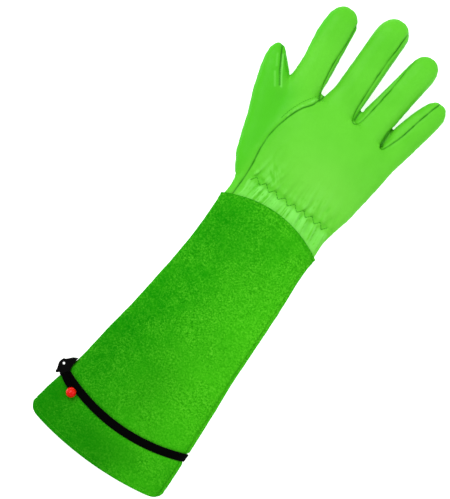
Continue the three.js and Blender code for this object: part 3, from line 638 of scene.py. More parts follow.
@dataclass(frozen=True)
class CuffSuede:
    """Napped split leather, cloudy where the nap is brushed, and speckled, with painted light
    towards the little-finger side and painted shade over the thumb side.
    """

    name: str = "cuff_suede"
    dark: Shade = (18, 140, 2)
    light: Shade = (60, 178, 14)
    pale: Shade = (104, 208, 46)
    pit: Shade = (4, 104, 0)

    def make(self) -> bpy.types.Material:
        """Builds the material.

        Returns:
            The finished material.
        """
        recipe = Recipe(self.name, 0.92)
        clouds = recipe.remap(recipe.noise(52, 4, 0.62), (0.36, 0.68), (0, 0.5))
        # Painted light: paler towards the little-finger side, with a painted highlight on the side
        # welt.
        wear_and_painted_light = recipe.remap(recipe.attribute("wear_and_painted_light"), (0, 1), (0, 0.75))
        share = recipe.maths("ADD", clouds, wear_and_painted_light)
        base = recipe.mix(share, linear(*self.dark), linear(*self.light))
        nap = recipe.remap(recipe.noise(8, 5, 0.72), (0.42, 0.7), (0, 0.4))
        base = recipe.mix(nap, base, linear(*self.light))
        brushed = recipe.remap(recipe.noise(26, 3, 0.6), (0.35, 0.65), (0.35, 1))
        grit = recipe.noise(1.7, 4, 0.84)
        speck = recipe.remap(grit, (0.5, 0.65), (0, 0.78))
        base = recipe.mix(recipe.maths("MULTIPLY", speck, brushed), base, linear(*self.pale))
        dots = recipe.remap(grit, (0.35, 0.5), (0.8, 0))
        base = recipe.mix(recipe.maths("MULTIPLY", dots, brushed), base, linear(*self.pit))
        # The seam attribute brings the seam lines and the painted shade.
        line = recipe.remap(recipe.attribute("seam"), (0, 1), (0, 0.7))
        base = recipe.mix(line, base, linear(*self.pit))
        relief = recipe.bump(recipe.noise(1.1, 4, 0.78), 0.4, 0.6)
        relief = recipe.bump(recipe.noise(5, 4, 0.6), 0.5, 0.22, relief)
        recipe.shader.inputs["Sheen Tint"].default_value = linear(110, 230, 30)
        return recipe.dress(
            base, relief, Specular_IOR_Level=0.03, Sheen_Weight=0.1, Sheen_Roughness=0.5
        )


@dataclass(frozen=True)
class PatchSuede:
    """The palm patch: coarse speckled suede that turns to teal at one end."""

    name: str = "patch_suede"
    green: Shade = (38, 142, 48)
    teal: Shade = (14, 98, 50)
    pale: Shade = (92, 182, 84)

    def make(self) -> bpy.types.Material:
        """Builds the material.

        Returns:
            The finished material.
        """
        recipe = Recipe(self.name, 0.95)
        clouds = recipe.remap(recipe.noise(30, 3), (0.38, 0.62), (0, 1))
        base = recipe.mix(clouds, linear(*self.green), linear(*self.teal))
        speck = recipe.remap(recipe.noise(1.3, 4, 0.8), (0.5, 0.66), (0, 0.75))
        base = recipe.mix(speck, base, linear(*self.pale))
        pits = recipe.remap(recipe.noise(1.1, 3, 0.75), (0.34, 0.46), (0.6, 0))
        base = recipe.mix(pits, base, linear(8, 70, 34))
        relief = recipe.bump(recipe.noise(0.9, 4, 0.8), 0.5, 0.8)
        return recipe.dress(
            base, relief, Specular_IOR_Level=0.12, Sheen_Weight=0.2, Sheen_Roughness=0.5
        )


@dataclass(frozen=True)
class Webbing:
    """Black woven elastic: ribs across it, and threads along it."""

    name: str = "strap_webbing"

    def make(self) -> bpy.types.Material:
        """Builds the material.

        Returns:
            The finished material.
        """
        recipe = Recipe(self.name, 0.72)
        uv = recipe.tree.nodes.new("ShaderNodeUVMap")
        uv.uv_map = "weave"
        waves = []
        for axis, size in (("X", 1.1), ("Y", 0.75)):
            wave = recipe.tree.nodes.new("ShaderNodeTexWave")
            wave.bands_direction = axis
            wave.inputs["Scale"].default_value = 0.314 / size
            wave.inputs["Distortion"].default_value = 0.4
            recipe.put(wave.inputs["Vector"], uv.outputs["UV"])
            waves.append(wave.outputs["Fac"])
        weave = recipe.maths("MULTIPLY", waves[0], waves[1])
        colour = recipe.mix(weave, linear(0, 0, 0), linear(5, 5, 6))
        relief = recipe.bump(weave, 0.3, 0.7)
        return recipe.dress(colour, relief, Specular_IOR_Level=0.02, Sheen_Weight=0.01)


@dataclass(frozen=True)
class MouldedPlastic:
    """Black moulded plastic with a faint skin."""

    name: str = "toggle_plastic"

    def make(self) -> bpy.types.Material:
        """Builds the material.

        Returns:
            The finished material.
        """
        recipe = Recipe(self.name, 0.35)
        scuff = recipe.remap(recipe.noise(2.5, 4), (0.45, 0.75), (0, 0.5))
        colour = recipe.mix(scuff, linear(0, 0, 0), linear(4, 4, 5))
        relief = recipe.bump(recipe.noise(0.35, 2), 0.03, 0.5)
        return recipe.dress(colour, relief, Specular_IOR_Level=0.05)


@dataclass(frozen=True)
class BeadGloss:
    """Glossy red bead with a faint swirl in its colour."""

    name: str = "bead_gloss"

    def make(self) -> bpy.types.Material:
        """Builds the material.

        Returns:
            The finished material.
        """
        recipe = Recipe(self.name, 0.2)
        swirl = recipe.remap(recipe.noise(4, 2), (0.35, 0.65), (0, 1))
        colour = recipe.mix(swirl, linear(196, 6, 1), linear(212, 14, 3))
        relief = recipe.bump(recipe.noise(1.6, 2), 0.02, 0.4)
        return recipe.dress(colour, relief, Specular_IOR_Level=0.16)


@dataclass(frozen=True)
class Thread:
    """Twisted sewing thread."""

    name: str
    light: Shade
    dark: Shade

    def make(self) -> bpy.types.Material:
        """Builds the material.

        Returns:
            The finished material.
        """
        recipe = Recipe(self.name, 0.6)
        twist = recipe.remap(recipe.noise(0.4, 2, 0.5, (1, 3, 1)), (0.35, 0.65), (0, 1))
        colour = recipe.mix(twist, linear(*self.dark), linear(*self.light))
        return recipe.dress(colour, recipe.bump(twist, 0.08, 0.6), Specular_IOR_Level=0.15)


class Label(Enum):
    """The solids of the hand, by their nodes' names."""

    BACK = "back_panel"
    SIDE = "side_panel"
    PALM = "palm_panel"
    THUMB = "thumb_panel"
    PATCH = "palm_patch"
    INDEX_MIDDLE = "fourchette_index_middle"
    MIDDLE_RING = "fourchette_middle_ring"
    RING_LITTLE = "fourchette_ring_little"


@dataclass(frozen=True)
class Finger:
    """A finger's middle line, in millimetres in the source's frame.

    The line starts at the root and shifts sideways by shares of the width along it.
    """

    start: tuple[float, float]
    length: float
    width: float
    thick: float
    along: tuple[float, ...]
    shift: tuple[float, ...]
    back: Label

    def place(self, x: Array, y: Array) -> tuple[Array, Array]:
        """Shares along the finger and across its half width.

        Args:
            x: places in the source's frame.
            y: places in the source's frame.

        Returns:
            The shares along and across.
        """
        along = (y - self.start[1]) / self.length
        middle = self.start[0] + np.interp(along, self.along, self.shift) * self.width
        return along, (x - middle) / (self.width / 2)


INDEX = Finger(
    (-47.2, 114.8), 87, 31.2, 17.5,
    (-0.2, 0.07, 0.31, 0.62, 0.75, 1), (0.02, 0, -0.045, -0.167, -0.2, -0.212), Label.SIDE,
)
MIDDLE = Finger(
    (-10.8, 120.7), 98.8, 30.6, 18,
    (-0.2, 0.013, 0.18, 0.63, 0.8, 1), (0, 0, 0.049, 0.023, 0.02, 0.03), Label.BACK,
)
RING = Finger(
    (24, 119.5), 88.8, 28, 17,
    (-0.2, 0.03, 0.19, 0.375, 0.56, 0.76, 1),
    (-0.036, 0, -0.01, 0.068, 0.146, 0.239, 0.271), Label.BACK,
)
LITTLE = Finger(
    (52.2, 113.7), 66.4, 27, 16,
    (-0.25, 0.02, 0.35, 0.57, 0.7, 0.82, 1),
    (-0.104, 0, 0.081, 0.196, 0.267, 0.33, 0.359), Label.BACK,
)


@dataclass(frozen=True)
class Strip:
    """A strip sewn in between two fingers.

    Its outline is what shows from above, in millimetres on the picture's grid. Each finger's
    seam lies on its side at a share of the thickness where it is hidden, and each strip tapers
    off at a share along either finger.
    """

    label: Label
    left: Finger
    right: Finger
    outline: Path
    left_height: float
    right_height: float
    left_end: float
    right_end: float


STRIPS = (
    Strip(Label.INDEX_MIDDLE, INDEX, MIDDLE, (
        (-48.6, 319.6), (-47.2, 308.4), (-46, 299.2), (-45, 290), (-44.7, 279), (-44.3, 272),
        (-42.8, 262.6), (-41.2, 253.9), (-39.8, 246.7), (-37.6, 241), (-35.5, 237.3),
        (-34.3, 240.9), (-34.7, 252.9), (-35.3, 269.1), (-36.5, 286.1), (-37.7, 303),
        (-38.6, 313.5), (-40.6, 325.4),
    ), 0.52, 0.34, 0.9, 0.86),
    Strip(Label.MIDDLE_RING, MIDDLE, RING, (
        (-5.1, 337.8), (-5.9, 332.8), (-5.7, 326.3), (-5.3, 319.1), (-5.5, 310.8), (-5.7, 303),
        (-5.6, 292), (-5.4, 283.1), (-5.2, 274.5), (-4.4, 265.5), (-3.6, 256), (-3, 247.9),
        (-1.8, 241.8), (-0.2, 238.8), (2, 237.9), (4.3, 239.2), (6, 242.6), (7.2, 249),
        (8.1, 255.5), (8.9, 262.2), (9.7, 269), (10.2, 276.2), (10.6, 282.5), (11.1, 289.5),
        (11.5, 297), (11.9, 308), (12, 314.5), (12.1, 320.3), (11, 328), (3, 334),
    ), 0.5, 0.5, 0.945, 0.9),
    Strip(Label.RING_LITTLE, RING, LITTLE, (
        (37.7, 291.1), (35.7, 278.5), (33.9, 265.9), (32.4, 255.5), (31.6, 250.5), (31.5, 244.5),
        (32.2, 239), (33.6, 235.2), (35.2, 233.4), (36.8, 235.8), (38.2, 238.6), (40, 242.8),
        (41.8, 247.6), (43.3, 252.8), (44.7, 258.4), (45.9, 264.3), (47.1, 270.4), (48.4, 276.3),
        (49.8, 282), (51.3, 287.6), (52.8, 292.8), (54, 296.4), (54.6, 300.5), (50, 304), (42, 300),
    ), 0.34, 0.5, 0.86, 0.95),
)


@dataclass(frozen=True)
class Fold:
    """A crease on the back of the hand, in millimetres on the picture's grid.

    Its depth and its darkness, which is painted shade, fade over its width; where its depth is
    nought it is a band of painted shade alone.
    """

    path: Path
    width: float
    depth: float
    # How strong its painted shade is, from nought to one.
    dark: float


# Creases, crotch pockets and bands beside the finger strips and the thumb, darkened with painted
# shade.
FOLDS = (
    Fold(((0.6, 252.2), (0.4, 250), (0.5, 245.7), (0.6, 241.8)), 1, 0.7, 0.75),
    Fold(((32.9, 254.4), (32.2, 250.4), (32.5, 245.1), (33.1, 239.9), (34.2, 236)), 1.5, 0.7, 0.75),
    Fold(((-38.2, 243.2), (-36.6, 239.8), (-35, 236.4)), 0.9, 0.6, 0.7),
    Fold(((-45.4, 308.2), (-44.1, 298), (-43, 286.5), (-42, 274.1), (-40.4, 260.9)), 1.5, 0, 0.3),
    Fold(((12.9, 321), (12.6, 315), (12.3, 307)), 1.6, 0, 0.35),
    Fold(((-82.5, 242.6), (-79.9, 238.2), (-75.7, 232.0), (-72.3, 227.2)), 0.7, 0.3, 0.9),
    Fold(((-84.4, 251.3), (-79.6, 245.9), (-74.4, 240.8)), 1, 0, 0.3),
)
# Painted highlights, as pale streaks beside the thumb's fold and along the finger strips: a path
# each, and how pale it is.
PAINTED_HIGHLIGHTS = (
    (((-85.9, 251.3), (-82.3, 245.1), (-78.5, 238.9), (-74.6, 232.8), (-70.4, 226.9)), 0.8),
    (((-82.9, 234.6), (-79.2, 229.5), (-75.3, 224.1)), 0.45),
    (((-90.4, 249.1), (-87.7, 244.4), (-84.8, 239.9)), 0.3),
    (((-1.8, 293.5), (-1.5, 281.5), (-0.9, 269.1), (-0.0, 258.1), (1.2, 247.9)), 0.4),
    (((9.9, 294.2), (9.0, 284.7), (7.4, 274.6), (6.1, 264.2)), 0.3),
    (((-38.4, 278.0), (-37.5, 267.5), (-36.6, 257.1)), 0.25),
)
# Where the thumb's seam loops back to the crotch, unseen.
THUMB_LOOP = ((-73, 231), (-71.4, 227), (-69.5, 228), (-70, 234), (-70, 241))
# The line of the knuckles, in millimetres in the source's frame: it drops towards both sides.
KNUCKLE_TOP, KNUCKLE_DROP, KNUCKLE_MIDDLE, KNUCKLE_HALF = 121, 11, 0.5, 63.5
# Where the thumb flows into the hand, on the picture's grid in millimetres.
THUMB_FLOW = ((-71.5, 227), (-67.3, 223), (-63.6, 208.5), (-59.6, 189.2), (-53.8, 169))


def inside(x: Array, y: Array, outline: Path) -> Array:
    """Whether places lie inside a closed outline.

    Args:
        x: the places.
        y: the places.
        outline: the outline's corners.

    Returns:
        A mask over the places.
    """
    made = np.zeros(len(x), dtype=bool)
    for (ax, ay), (bx, by) in zip(outline, (*outline[1:], outline[0])):
        if ay != by:
            made ^= ((ay > y) != (by > y)) & (x < (bx - ax) * (y - ay) / (by - ay) + ax)
    return made


def line_distance(x: Array, y: Array, path: Path) -> Array:
    """How far places lie from a path of straight legs, seen from above.

    Args:
        x: the places.
        y: the places.
        path: the path's points.

    Returns:
        The distances.
    """
    best = np.full(len(x), 1e6)
    for (ax, ay), (bx, by) in zip(path[:-1], path[1:]):
        dx, dy = bx - ax, by - ay
        share = np.clip(((x - ax) * dx + (y - ay) * dy) / (dx * dx + dy * dy), 0, 1)
        best = np.minimum(best, np.hypot(x - ax - share * dx, y - ay - share * dy))
    return best


@dataclass(frozen=True)
class Seam:
    """A row of stitches.

    Its path is in millimetres on the picture's grid, on the back or the palm side.
    """

    name: str
    path: Path
    on_back: bool = True
    pitch: float = 2.6
    radius: float = 0.3
    sharp: bool = False


ELASTIC = Seam("elastic", (
    (-43.6, 143.2), (-40, 148.5), (-34, 143.6), (-30, 148.7), (-23.8, 143.3), (-19.3, 148.5),
    (-13.4, 143.1), (-8.3, 148.4), (-3, 143.2), (1.7, 148.5), (7.1, 143.7), (11.6, 149),
    (16.1, 144.4), (20.4, 149.1), (25.9, 144.5), (29.9, 149.1), (33.9, 144), (37.8, 148.8),
), pitch=2.4, radius=0.27, sharp=True)
SECOND_ROW = Seam("second row", (
    (-39.8, 237.5), (-43.6, 232), (-47.2, 225.5), (-50.2, 218.4), (-52.4, 211), (-53.8, 204),
), pitch=2.2, radius=0.22)
# The puckered band beside the back seam, raised and given a painted highlight, on the picture's
# grid.
SEAM_BAND = ((-37.6, 237), (-41, 230.4), (-44.8, 224), (-48, 217), (-50.2, 209.3))
PALM_SEAMS = (
    Seam("thumb outer", (
        (-38.8, 208.8), (-36.5, 206), (-29, 193), (-22, 179), (-18.5, 168), (-18.5, 158),
        (-22, 147), (-30, 138.5), (-43, 134), (-56, 135), (-64, 141.5), (-70, 151),
    ), on_back=False),
    Seam("thumb outermost", (
        (-32.6, 208.4), (-26, 196), (-19, 181), (-15.5, 169), (-15.5, 157),
        (-19, 145), (-28, 135.5), (-42, 131), (-57, 132), (-66, 139),
    ), on_back=False),
    Seam("finger base", (
        (30, 237), (18, 239.5), (6, 240.5), (-6, 240), (-18, 238), (-26, 236),
    ), on_back=False),
    Seam("patch upper", (
        (60.5, 224.6), (45, 227.8), (30, 232.6), (20, 235.3), (10, 237.6), (0, 238.4), (-20, 234.6),
        (-32, 232.3), (-45, 230.4), (-56, 224.6),
    ), on_back=False),
    Seam("patch lower", (
        (56.5, 160.4), (49, 170.4), (39.4, 177.4), (29.6, 182.5), (14.6, 189.4), (-0.8, 195.5),
        (-6, 201.6), (-13, 207.3), (-25.4, 210.2), (-39, 210),
    ), on_back=False),
)


class LeatherMap:
    """What each point of the hand's skin shows, by its place on the picture's grid."""

    elastic_y = 146.2
    thumb_tip = (-94.5, 256)
    thumb_seam_end = (-93, 257)
    thumb_root = (-47, 170)
    palest = (14, 172)
    pleats_start, pleats_end = 116, 122

    def __init__(self, points: Array, normals: Array) -> None:
        """Reads where the points lie and which way they face.

        Args:
            points: the points, in metres in the row frame.
            normals: their normals, of length one.
        """
        self.place = points / MM
        self.grid = self.place[:, :2] - GRID_SHIFT
        self.x, self.y = self.grid.T
        self.above = self.y - self.elastic_y
        self.turned = 1 - np.abs(normals[:, 2])
        self.top = step(normals[:, 2], 0.1, 0.5)
        self.base = step(-normals[:, 2], 0.1, 0.5)
        self.palm = step(-normals[:, 2], -0.2, 0.6)

    def near(self, path: Path, width: float) -> Array:
        """A rounded ridge of height one along a path."""
        return bell(line_distance(self.x, self.y, path), width)

    def near_spot(self, spot: tuple[float, float], width: float) -> Array:
        """A rounded bump of height one over a spot."""
        return bell(np.hypot(self.x - spot[0], self.y - spot[1]), width)

    def lean(self) -> Array:
        """Places across the hand, sheared as the elastic's gathers lean."""
        return self.x + 0.16 * self.above * np.sin(self.x / 17)

    def ripple(self) -> Array:
        """The small puckers beside the back seam, from -1 to 1."""
        slanted = np.stack([self.x + self.y, self.x - self.y], axis=1) * (1, 0.35)
        return value_noise(slanted, 1.9, Pattern.BAND_RIPPLE)

    def relief(self, away: Array) -> Array:
        """How far each point is raised, in millimetres.

        Args:
            away: each point's distance from the nearest seam.

        Returns:
            The raise, less than nought in the seams.
        """
        place = self.place
        pull = 1 + 0.55 * value_noise(place, 2.6, Pattern.SEAM_PULL)
        puckers = bell(away - 2.6, 1.5) * (1 + 0.8 * value_noise(place, 3.2, Pattern.SEAM_PUCKERS))
        seams = -0.7 * np.exp(-((away / 0.95) ** 1.3)) * pull + 0.28 * puckers
        seams += 0.16 * value_noise(place, 2.4, Pattern.SEAM_ROUGH) * np.exp(-away / 3)
        raised = seams * self.seam_strength() * (1 - 0.8 * self.near_spot(self.thumb_seam_end, 5))
        fine = 0.1 * value_noise(place, 7, Pattern.SKIN_FINE)
        raised += 0.22 * value_noise(place, 16, Pattern.SKIN_BROAD) + fine
        raised += self.top * (self.gathers() + self.second_row() + 0.4 * self.pleats())
        raised += 1.2 * self.near_spot(self.thumb_tip, 6)
        raised -= self.top * 0.3 * self.near(ELASTIC.path, 0.7)
        for fold in FOLDS:
            raised -= self.top * fold.depth * self.near(fold.path, fold.width)
        raised += 0.5 * self.base * self.palm_pleats()
        for seam in PALM_SEAMS:
            beside = line_distance(self.x, self.y, seam.path)
            raised += self.base * (0.2 * bell(beside - 1.6, 1) * pull - 0.35 * bell(beside, 0.7))
        return raised

    def second_row(self) -> Array:
        """The raise of the puckered band between the back seam and its row of stitches."""
        band = self.near(SEAM_BAND, 1.6) * (0.25 + 0.6 * self.ripple())
        return band - 0.3 * self.near(SECOND_ROW.path, 0.75)

    def seam_strength(self) -> Array:
        """How plainly the seams show, less where one piece folds into the next.

        Returns:
            Shares from nought to one.
        """
        crotch = self.near(THUMB_LOOP, 6.5)
        patchy = 0.8 + 0.35 * value_noise(self.grid, 6.5, Pattern.SEAM_PATCHY)
        return np.clip(patchy, 0.4, 1) * (1 - np.clip(crotch * 1.8, 0, 0.97))

    def gathers(self) -> Array:
        """The folds that the wrist elastic gathers on the back of the hand.

        Returns:
            The raise in millimetres.
        """
        x, above = self.x, self.above
        lean = self.lean() + 1.5 * value_noise(self.grid, 12, Pattern.GATHER_LEAN)
        coarse = value_noise(lean[:, None], 4.4, Pattern.GATHER_COARSE)
        fine = value_noise(lean[:, None], 2.3, Pattern.GATHER_FINE)
        fold = 0.7 - 1.9 * np.sqrt(np.abs(coarse)) + 0.7 * fine
        strong = 0.45 + 0.6 * bell(x + 38, 9) + 0.5 * bell(x - 24, 17)
        reach = np.where(above > 0, 12, 14)
        fade = np.exp(-np.abs(above) / reach) * step(np.abs(above), 0.2, 3)
        across = step(x, -50, -44) * (1 - step(x, 40, 46))
        puff = 0.4 * (bell(above - 5.5, 3) + bell(above + 6, 3.4)) - 0.7 * bell(above, 2.8)
        return across * step(self.y, 116, 124) * (strong * fade * fold * 1.35 + puff)

    def pleats(self) -> Array:
        """The thin creases and pale ridges between them, beside the elastic.

        Returns:
            From minus one in a crease to half on a ridge.
        """
        x, y, above = self.x, self.y, self.above
        along = np.stack([self.lean(), y * 0.05], axis=1)
        slant = np.stack([0.73 * x + 0.68 * y, 0.05 * x - 0.05 * y], axis=1)
        straight = bell(value_noise(along, 2.2, Pattern.PLEAT_STRAIGHT), 0.14)
        slanted = bell(value_noise(slant, 2.1, Pattern.PLEAT_SLANTED), 0.14)
        soft = 0.6 + 0.8 * value_noise(self.grid, 6, Pattern.PLEAT_SOFT)
        below = step(-above, 0, 3) * step(x, -47, -42) * (1 - step(x, 38, 45))
        below *= step(y, self.pleats_start, self.pleats_end)
        right = 0.8 * bell(x - 20, 17) * bell(above - 12, 16) * step(above, 2, 5)
        left = bell(x + 33, 9) * bell(above - 12, 10) * step(above, 1, 4)
        made = (below + right) * (0.4 - 1.1 * soft * straight)
        return np.clip(made + left * (0.55 - 1.2 * soft * slanted), -1, 1)

    def palm_pleats(self) -> Array:
        """The puckers that run out from the thumb's seam over the palm.

        Returns:
            The raise in millimetres.
        """
        x, y = self.x - self.thumb_root[0], self.y - self.thumb_root[1]
        away = np.hypot(x, y * 0.8)
        spokes = np.stack([np.arctan2(y, x) * 34, away * 0.08], axis=1)
        folds = bell(value_noise(spokes, 2.7, Pattern.PALM_FOLDS), 0.2)
        return step(x, 4, 18) * bell(away - 37, 11) * (0.35 - 1.3 * folds)

    def ridge_light_and_crease_shade(self) -> Array:
        """How pale the leather is painted: painted highlights on the ridges of the gathers, pleats
        and puckers and along the streaks, and painted shade in their creases.

        Returns:
            From minus one, painted shade in a crease, to one, a painted highlight on a ridge.
        """
        x = self.x
        row = np.interp(x, *np.array(ELASTIC.path).T)
        below = step(row - self.y, -0.5, 0.6) * step(x, -47, -43) * (1 - step(x, 38, 45))
        # Painted highlights on the gathers' ridges and below the elastic, and painted shade in
        # their creases.
        pale = 0.5 * self.gathers() + 0.34 * below + self.pleats()
        for path, strength in PAINTED_HIGHLIGHTS:
            pale += strength * self.near(path, 0.8)
        # Painted highlight on the puckered band beside the back seam.
        pale += self.near(SEAM_BAND, 0.9) * (0.3 + 0.5 * self.ripple())
        return self.top * np.clip(pale, -1, 1) + 0.5 * self.base * self.palm_pleats()

    def tone(self) -> Array:
        """How the leather's colour drifts over the hand: paler over the middle of the back, deeper
        on the thumb side and towards the fingertips, and darker with painted shade on its steep
        sides.

        Returns:
            From minus one, the deepest, to one, the palest.
        """
        x, y = self.x, self.y
        side = step(-x, 44, 62) * np.maximum(1 - step(y, 215, 250), step(-x, 66, 76))
        deep = 0.7 * side + 0.15 * step(y, 250, 320)
        pale = 0.8 * bell(np.hypot((x - self.palest[0]) / 42, (y - self.palest[1]) / 34), 1)
        # Painted shade on the steep sides, where the surface turns away from the light above.
        return np.clip(pale - deep - 0.8 * step(self.turned, 0.6, 1), -1, 1)

    def dark(self, away: Array) -> Array:
        """How dark the leather is down in its seams, with painted shade in its folds.

        Args:
            away: each point's distance from the nearest seam, in millimetres.

        Returns:
            Shares from nought to one.
        """
        dark = bell(away, 0.7) * self.seam_strength()
        dark = np.maximum(dark, 0.25 * self.top * self.near(ELASTIC.path, 0.6))
        # Painted shade in the folds.
        for fold in FOLDS:
            dark = np.maximum(dark, fold.dark * self.top * self.near(fold.path, fold.width))
        return dark

    def grain(self) -> Array:
        """How plain the pebbled grain is: on the palm side most."""
        return self.palm * (0.75 + 0.25 * value_noise(self.grid, 9, Pattern.GRAIN))


@dataclass
class Hand:
    """The leather hand: one skin, parted along its seams into the sewn pieces.

    Its lengths are in metres, its angle in degrees, and what a strip has is in shares of the
    finger beside it.
    """

    voxel: float = 0.9 * MM
    core_step: float = 1.2 * MM
    core_inset: float = 0.9 * MM
    core_least: float = 2 * MM
    leather: float = 1.1 * MM
    seam_half_gap: float = 0.15 * MM
    seam_reach: float = 0.8 * MM
    lid_depth: float = 4 * MM
    lid_facing: float = -0.35
    strip_root: float = 0.12
    strip_taper: float = 0.2
    strip_low: float = 0.2
    sharp: float = 58
    skin_rounds: int = 30
    knuckle_rounds: int = 90
    seam_rounds: int = 14
    skin: Skin = field(init=False)
    labels: Array = field(init=False)
    tree: BVHTree = field(init=False)

    def solids(self) -> list[tuple[Array, Array]]:
        """The points and triangles of each solid, in the order of the labels."""
        return [read_mesh(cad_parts[label.value]) for label in Label]

    def core(self, tree: BVHTree, low: Array, high: Array) -> tuple[Array, Array]:
        """Fills the hollow of the hand, from wall to wall.

        Args:
            tree: a search tree over all the hand's solids.
            low: their lowest corner.
            high: their highest corner.

        Returns:
            The filling's points and its faces of four corners.
        """
        margin, far = 2 * MM, 0.1
        xs = np.arange(low[0] - margin, high[0] + margin, self.core_step)
        ys = np.arange(low[1] - margin, high[1] + margin, self.core_step)
        heights = np.full((2, len(xs), len(ys)), np.nan)
        for i, x in enumerate(xs):
            for j, y in enumerate(ys):
                for side, start in enumerate((far, -far)):
                    hit = tree.ray_cast(Vector((x, y, start)), Vector((0, 0, -start)))[0]
                    if hit is not None:
                        heights[side, i, j] = hit.z
        around = [
            np.roll(heights, (a, b), axis=(1, 2)) for a in (-1, 0, 1) for b in (-1, 0, 1)
        ]
        filled = np.isfinite(heights[0])
        with np.errstate(all="ignore"):
            middle = np.nanmedian(np.stack(around), axis=0)
        top, base = middle[0] - self.core_inset, middle[1] + self.core_inset
        filled &= (top - base) > self.core_least
        size = filled.size
        number = np.arange(size).reshape(filled.shape)
        grid_x, grid_y = np.meshgrid(xs, ys, indexing="ij")
        points = np.vstack(
            [
                np.stack([grid_x, grid_y, np.nan_to_num(z)], axis=2).reshape(-1, 3)
                for z in (top, base)
            ]
        )
        cell = filled[:-1, :-1] & filled[1:, :-1] & filled[:-1, 1:] & filled[1:, 1:]
        a, b = number[:-1, :-1][cell], number[1:, :-1][cell]
        c, d = number[1:, 1:][cell], number[:-1, 1:][cell]
        faces = [np.stack([a, b, c, d], axis=1), np.stack([d, c, b, a], axis=1) + size]
        padded = np.pad(cell, 1)
        ways = (
            (padded[1:-1, :-2], a, b),
            (padded[2:, 1:-1], b, c),
            (padded[1:-1, 2:], c, d),
            (padded[:-2, 1:-1], d, a),
        )
        for beside, start, end in ways:
            open_side = ~beside[cell]
            s, e = start[open_side], end[open_side]
            faces.append(np.stack([e, s, s + size, e + size], axis=1))
        return points, np.vstack(faces)

    def outer_skin(self) -> None:
        """Remeshes the solids and their filling, and keeps the outer surface."""
        solids = self.solids()
        points = np.vstack([p for p, _ in solids])
        starts = np.cumsum([0] + [len(p) for p, _ in solids[:-1]])
        triangles = np.vstack([f + s for (_, f), s in zip(solids, starts)])
        whole = make_tree(points, triangles)
        core_points, core_faces = self.core(whole, points.min(axis=0), points.max(axis=0))
        faces = triangles.tolist() + (core_faces + len(points)).tolist()
        rough = add_piece("hand_rough", np.vstack([points, core_points]), faces)
        skin = remesh(rough, self.voxel).biggest_island()
        skin.even_out(self.skin_rounds)
        self.soften_knuckles(skin)
        face = skin.face_normals()
        face /= np.linalg.norm(face, axis=1)[:, None]
        centre = skin.points[skin.faces].mean(axis=1)
        at_wrist = centre[:, 1] < SHIFT[1] * MM + self.lid_depth
        lid = (face[:, 1] < self.lid_facing) & at_wrist
        skin = skin.part(~lid)[0].biggest_island()
        self.skin = skin
        owner = np.repeat(np.arange(len(solids)), [len(f) for _, f in solids])
        centre = skin.points[skin.faces].mean(axis=1)
        self.labels = np.array([owner[whole.find_nearest(Vector(c))[2]] for c in centre])
        self.cut_strips()
        self.clean_labels()

    def soften_knuckles(self, skin: Skin) -> None:
        """Blends the fingers' roots into the back and the palm.

        Args:
            skin: the skin before it is parted.
        """
        normals = skin.normals()
        x, y = (skin.points[:, :2] / MM - SHIFT).T
        knuckle = KNUCKLE_TOP - KNUCKLE_DROP * ((x - KNUCKLE_MIDDLE) / KNUCKLE_HALF) ** 2
        flat = step(np.abs(normals[:, 2]), 0.3, 0.6)
        roots = bell(y - knuckle, 12) * flat * step(x, -60, -50)
        grid_x, grid_y = (skin.points[:, :2] / MM - GRID_SHIFT).T
        flow = bell(line_distance(grid_x, grid_y, THUMB_FLOW), 11)
        share = 0.5 * np.maximum(roots, flow * step(normals[:, 2], 0.2, 0.5))
        for _ in range(self.knuckle_rounds):
            skin.points = skin.points + share[:, None] * (skin.spread(skin.points) - skin.points)

    def cut_strips(self) -> None:
        """Gives the strips between the fingers the outline that shows from above."""
        centre = self.skin.points[self.skin.faces].mean(axis=1) / MM
        x, y = (centre[:, :2] - SHIFT).T
        grid_x, grid_y = (centre[:, :2] - GRID_SHIFT).T
        numbers = {label: number for number, label in enumerate(Label)}
        palm = numbers[Label.PALM]
        backs = [numbers[Label.BACK], numbers[Label.SIDE]]
        for strip in STRIPS:
            left, right, number = strip.left, strip.right, numbers[strip.label]
            shown = inside(grid_x, grid_y, strip.outline)
            left_along, left_across = left.place(x, y)
            right_along, right_across = right.place(x, y)
            on_left = np.abs(left_across) < np.abs(right_across)
            near = (y > left.start[1] - 6) & (left_across > -0.2) & (right_across < 0.2)
            height = centre[:, 2] / np.where(on_left, left.thick, right.thick)
            bound = np.where(on_left, strip.left_height, strip.right_height)
            high = height > bound
            back = np.where(on_left, numbers[left.back], numbers[right.back])
            self.relabel((self.labels == number) & high & ~shown, back)
            self.relabel(near & high & shown & np.isin(self.labels, backs), number)
            along = np.where(on_left, left_along, right_along)
            end = np.where(on_left, strip.left_end, strip.right_end)
            narrow = np.sqrt(np.clip((end - along) / self.strip_taper, 0, 1))
            low = bound - (bound - self.strip_low) * narrow
            under = near & ~high & (along > self.strip_root)
            self.relabel(under & (self.labels == number) & (height < low), palm)
            ours = under & (along < end) & (height > low)
            self.relabel(ours & np.isin(self.labels, [palm, *backs]), number)

    def relabel(self, faces: Array, number: int | Array) -> None:
        """Gives some of the faces to another piece."""
        self.labels = np.where(faces, number, self.labels)

    def clean_labels(self) -> None:
        """Turns single faces that stick out over a seam to their neighbours' piece."""
        pairs = self.skin.edge_faces
        for _ in range(3):
            votes = np.zeros((len(self.labels), len(Label)))
            for one, other in ((0, 1), (1, 0)):
                np.add.at(votes, (pairs[:, one], self.labels[pairs[:, other]]), 1)
            best = votes.argmax(axis=1)
            self.relabel(votes.max(axis=1) >= 3, best)

    def seam_edges(self) -> Array:
        """A mask over the edges that lie between two pieces."""
        pair = self.labels[self.skin.edge_faces]
        return pair[:, 0] != pair[:, 1]

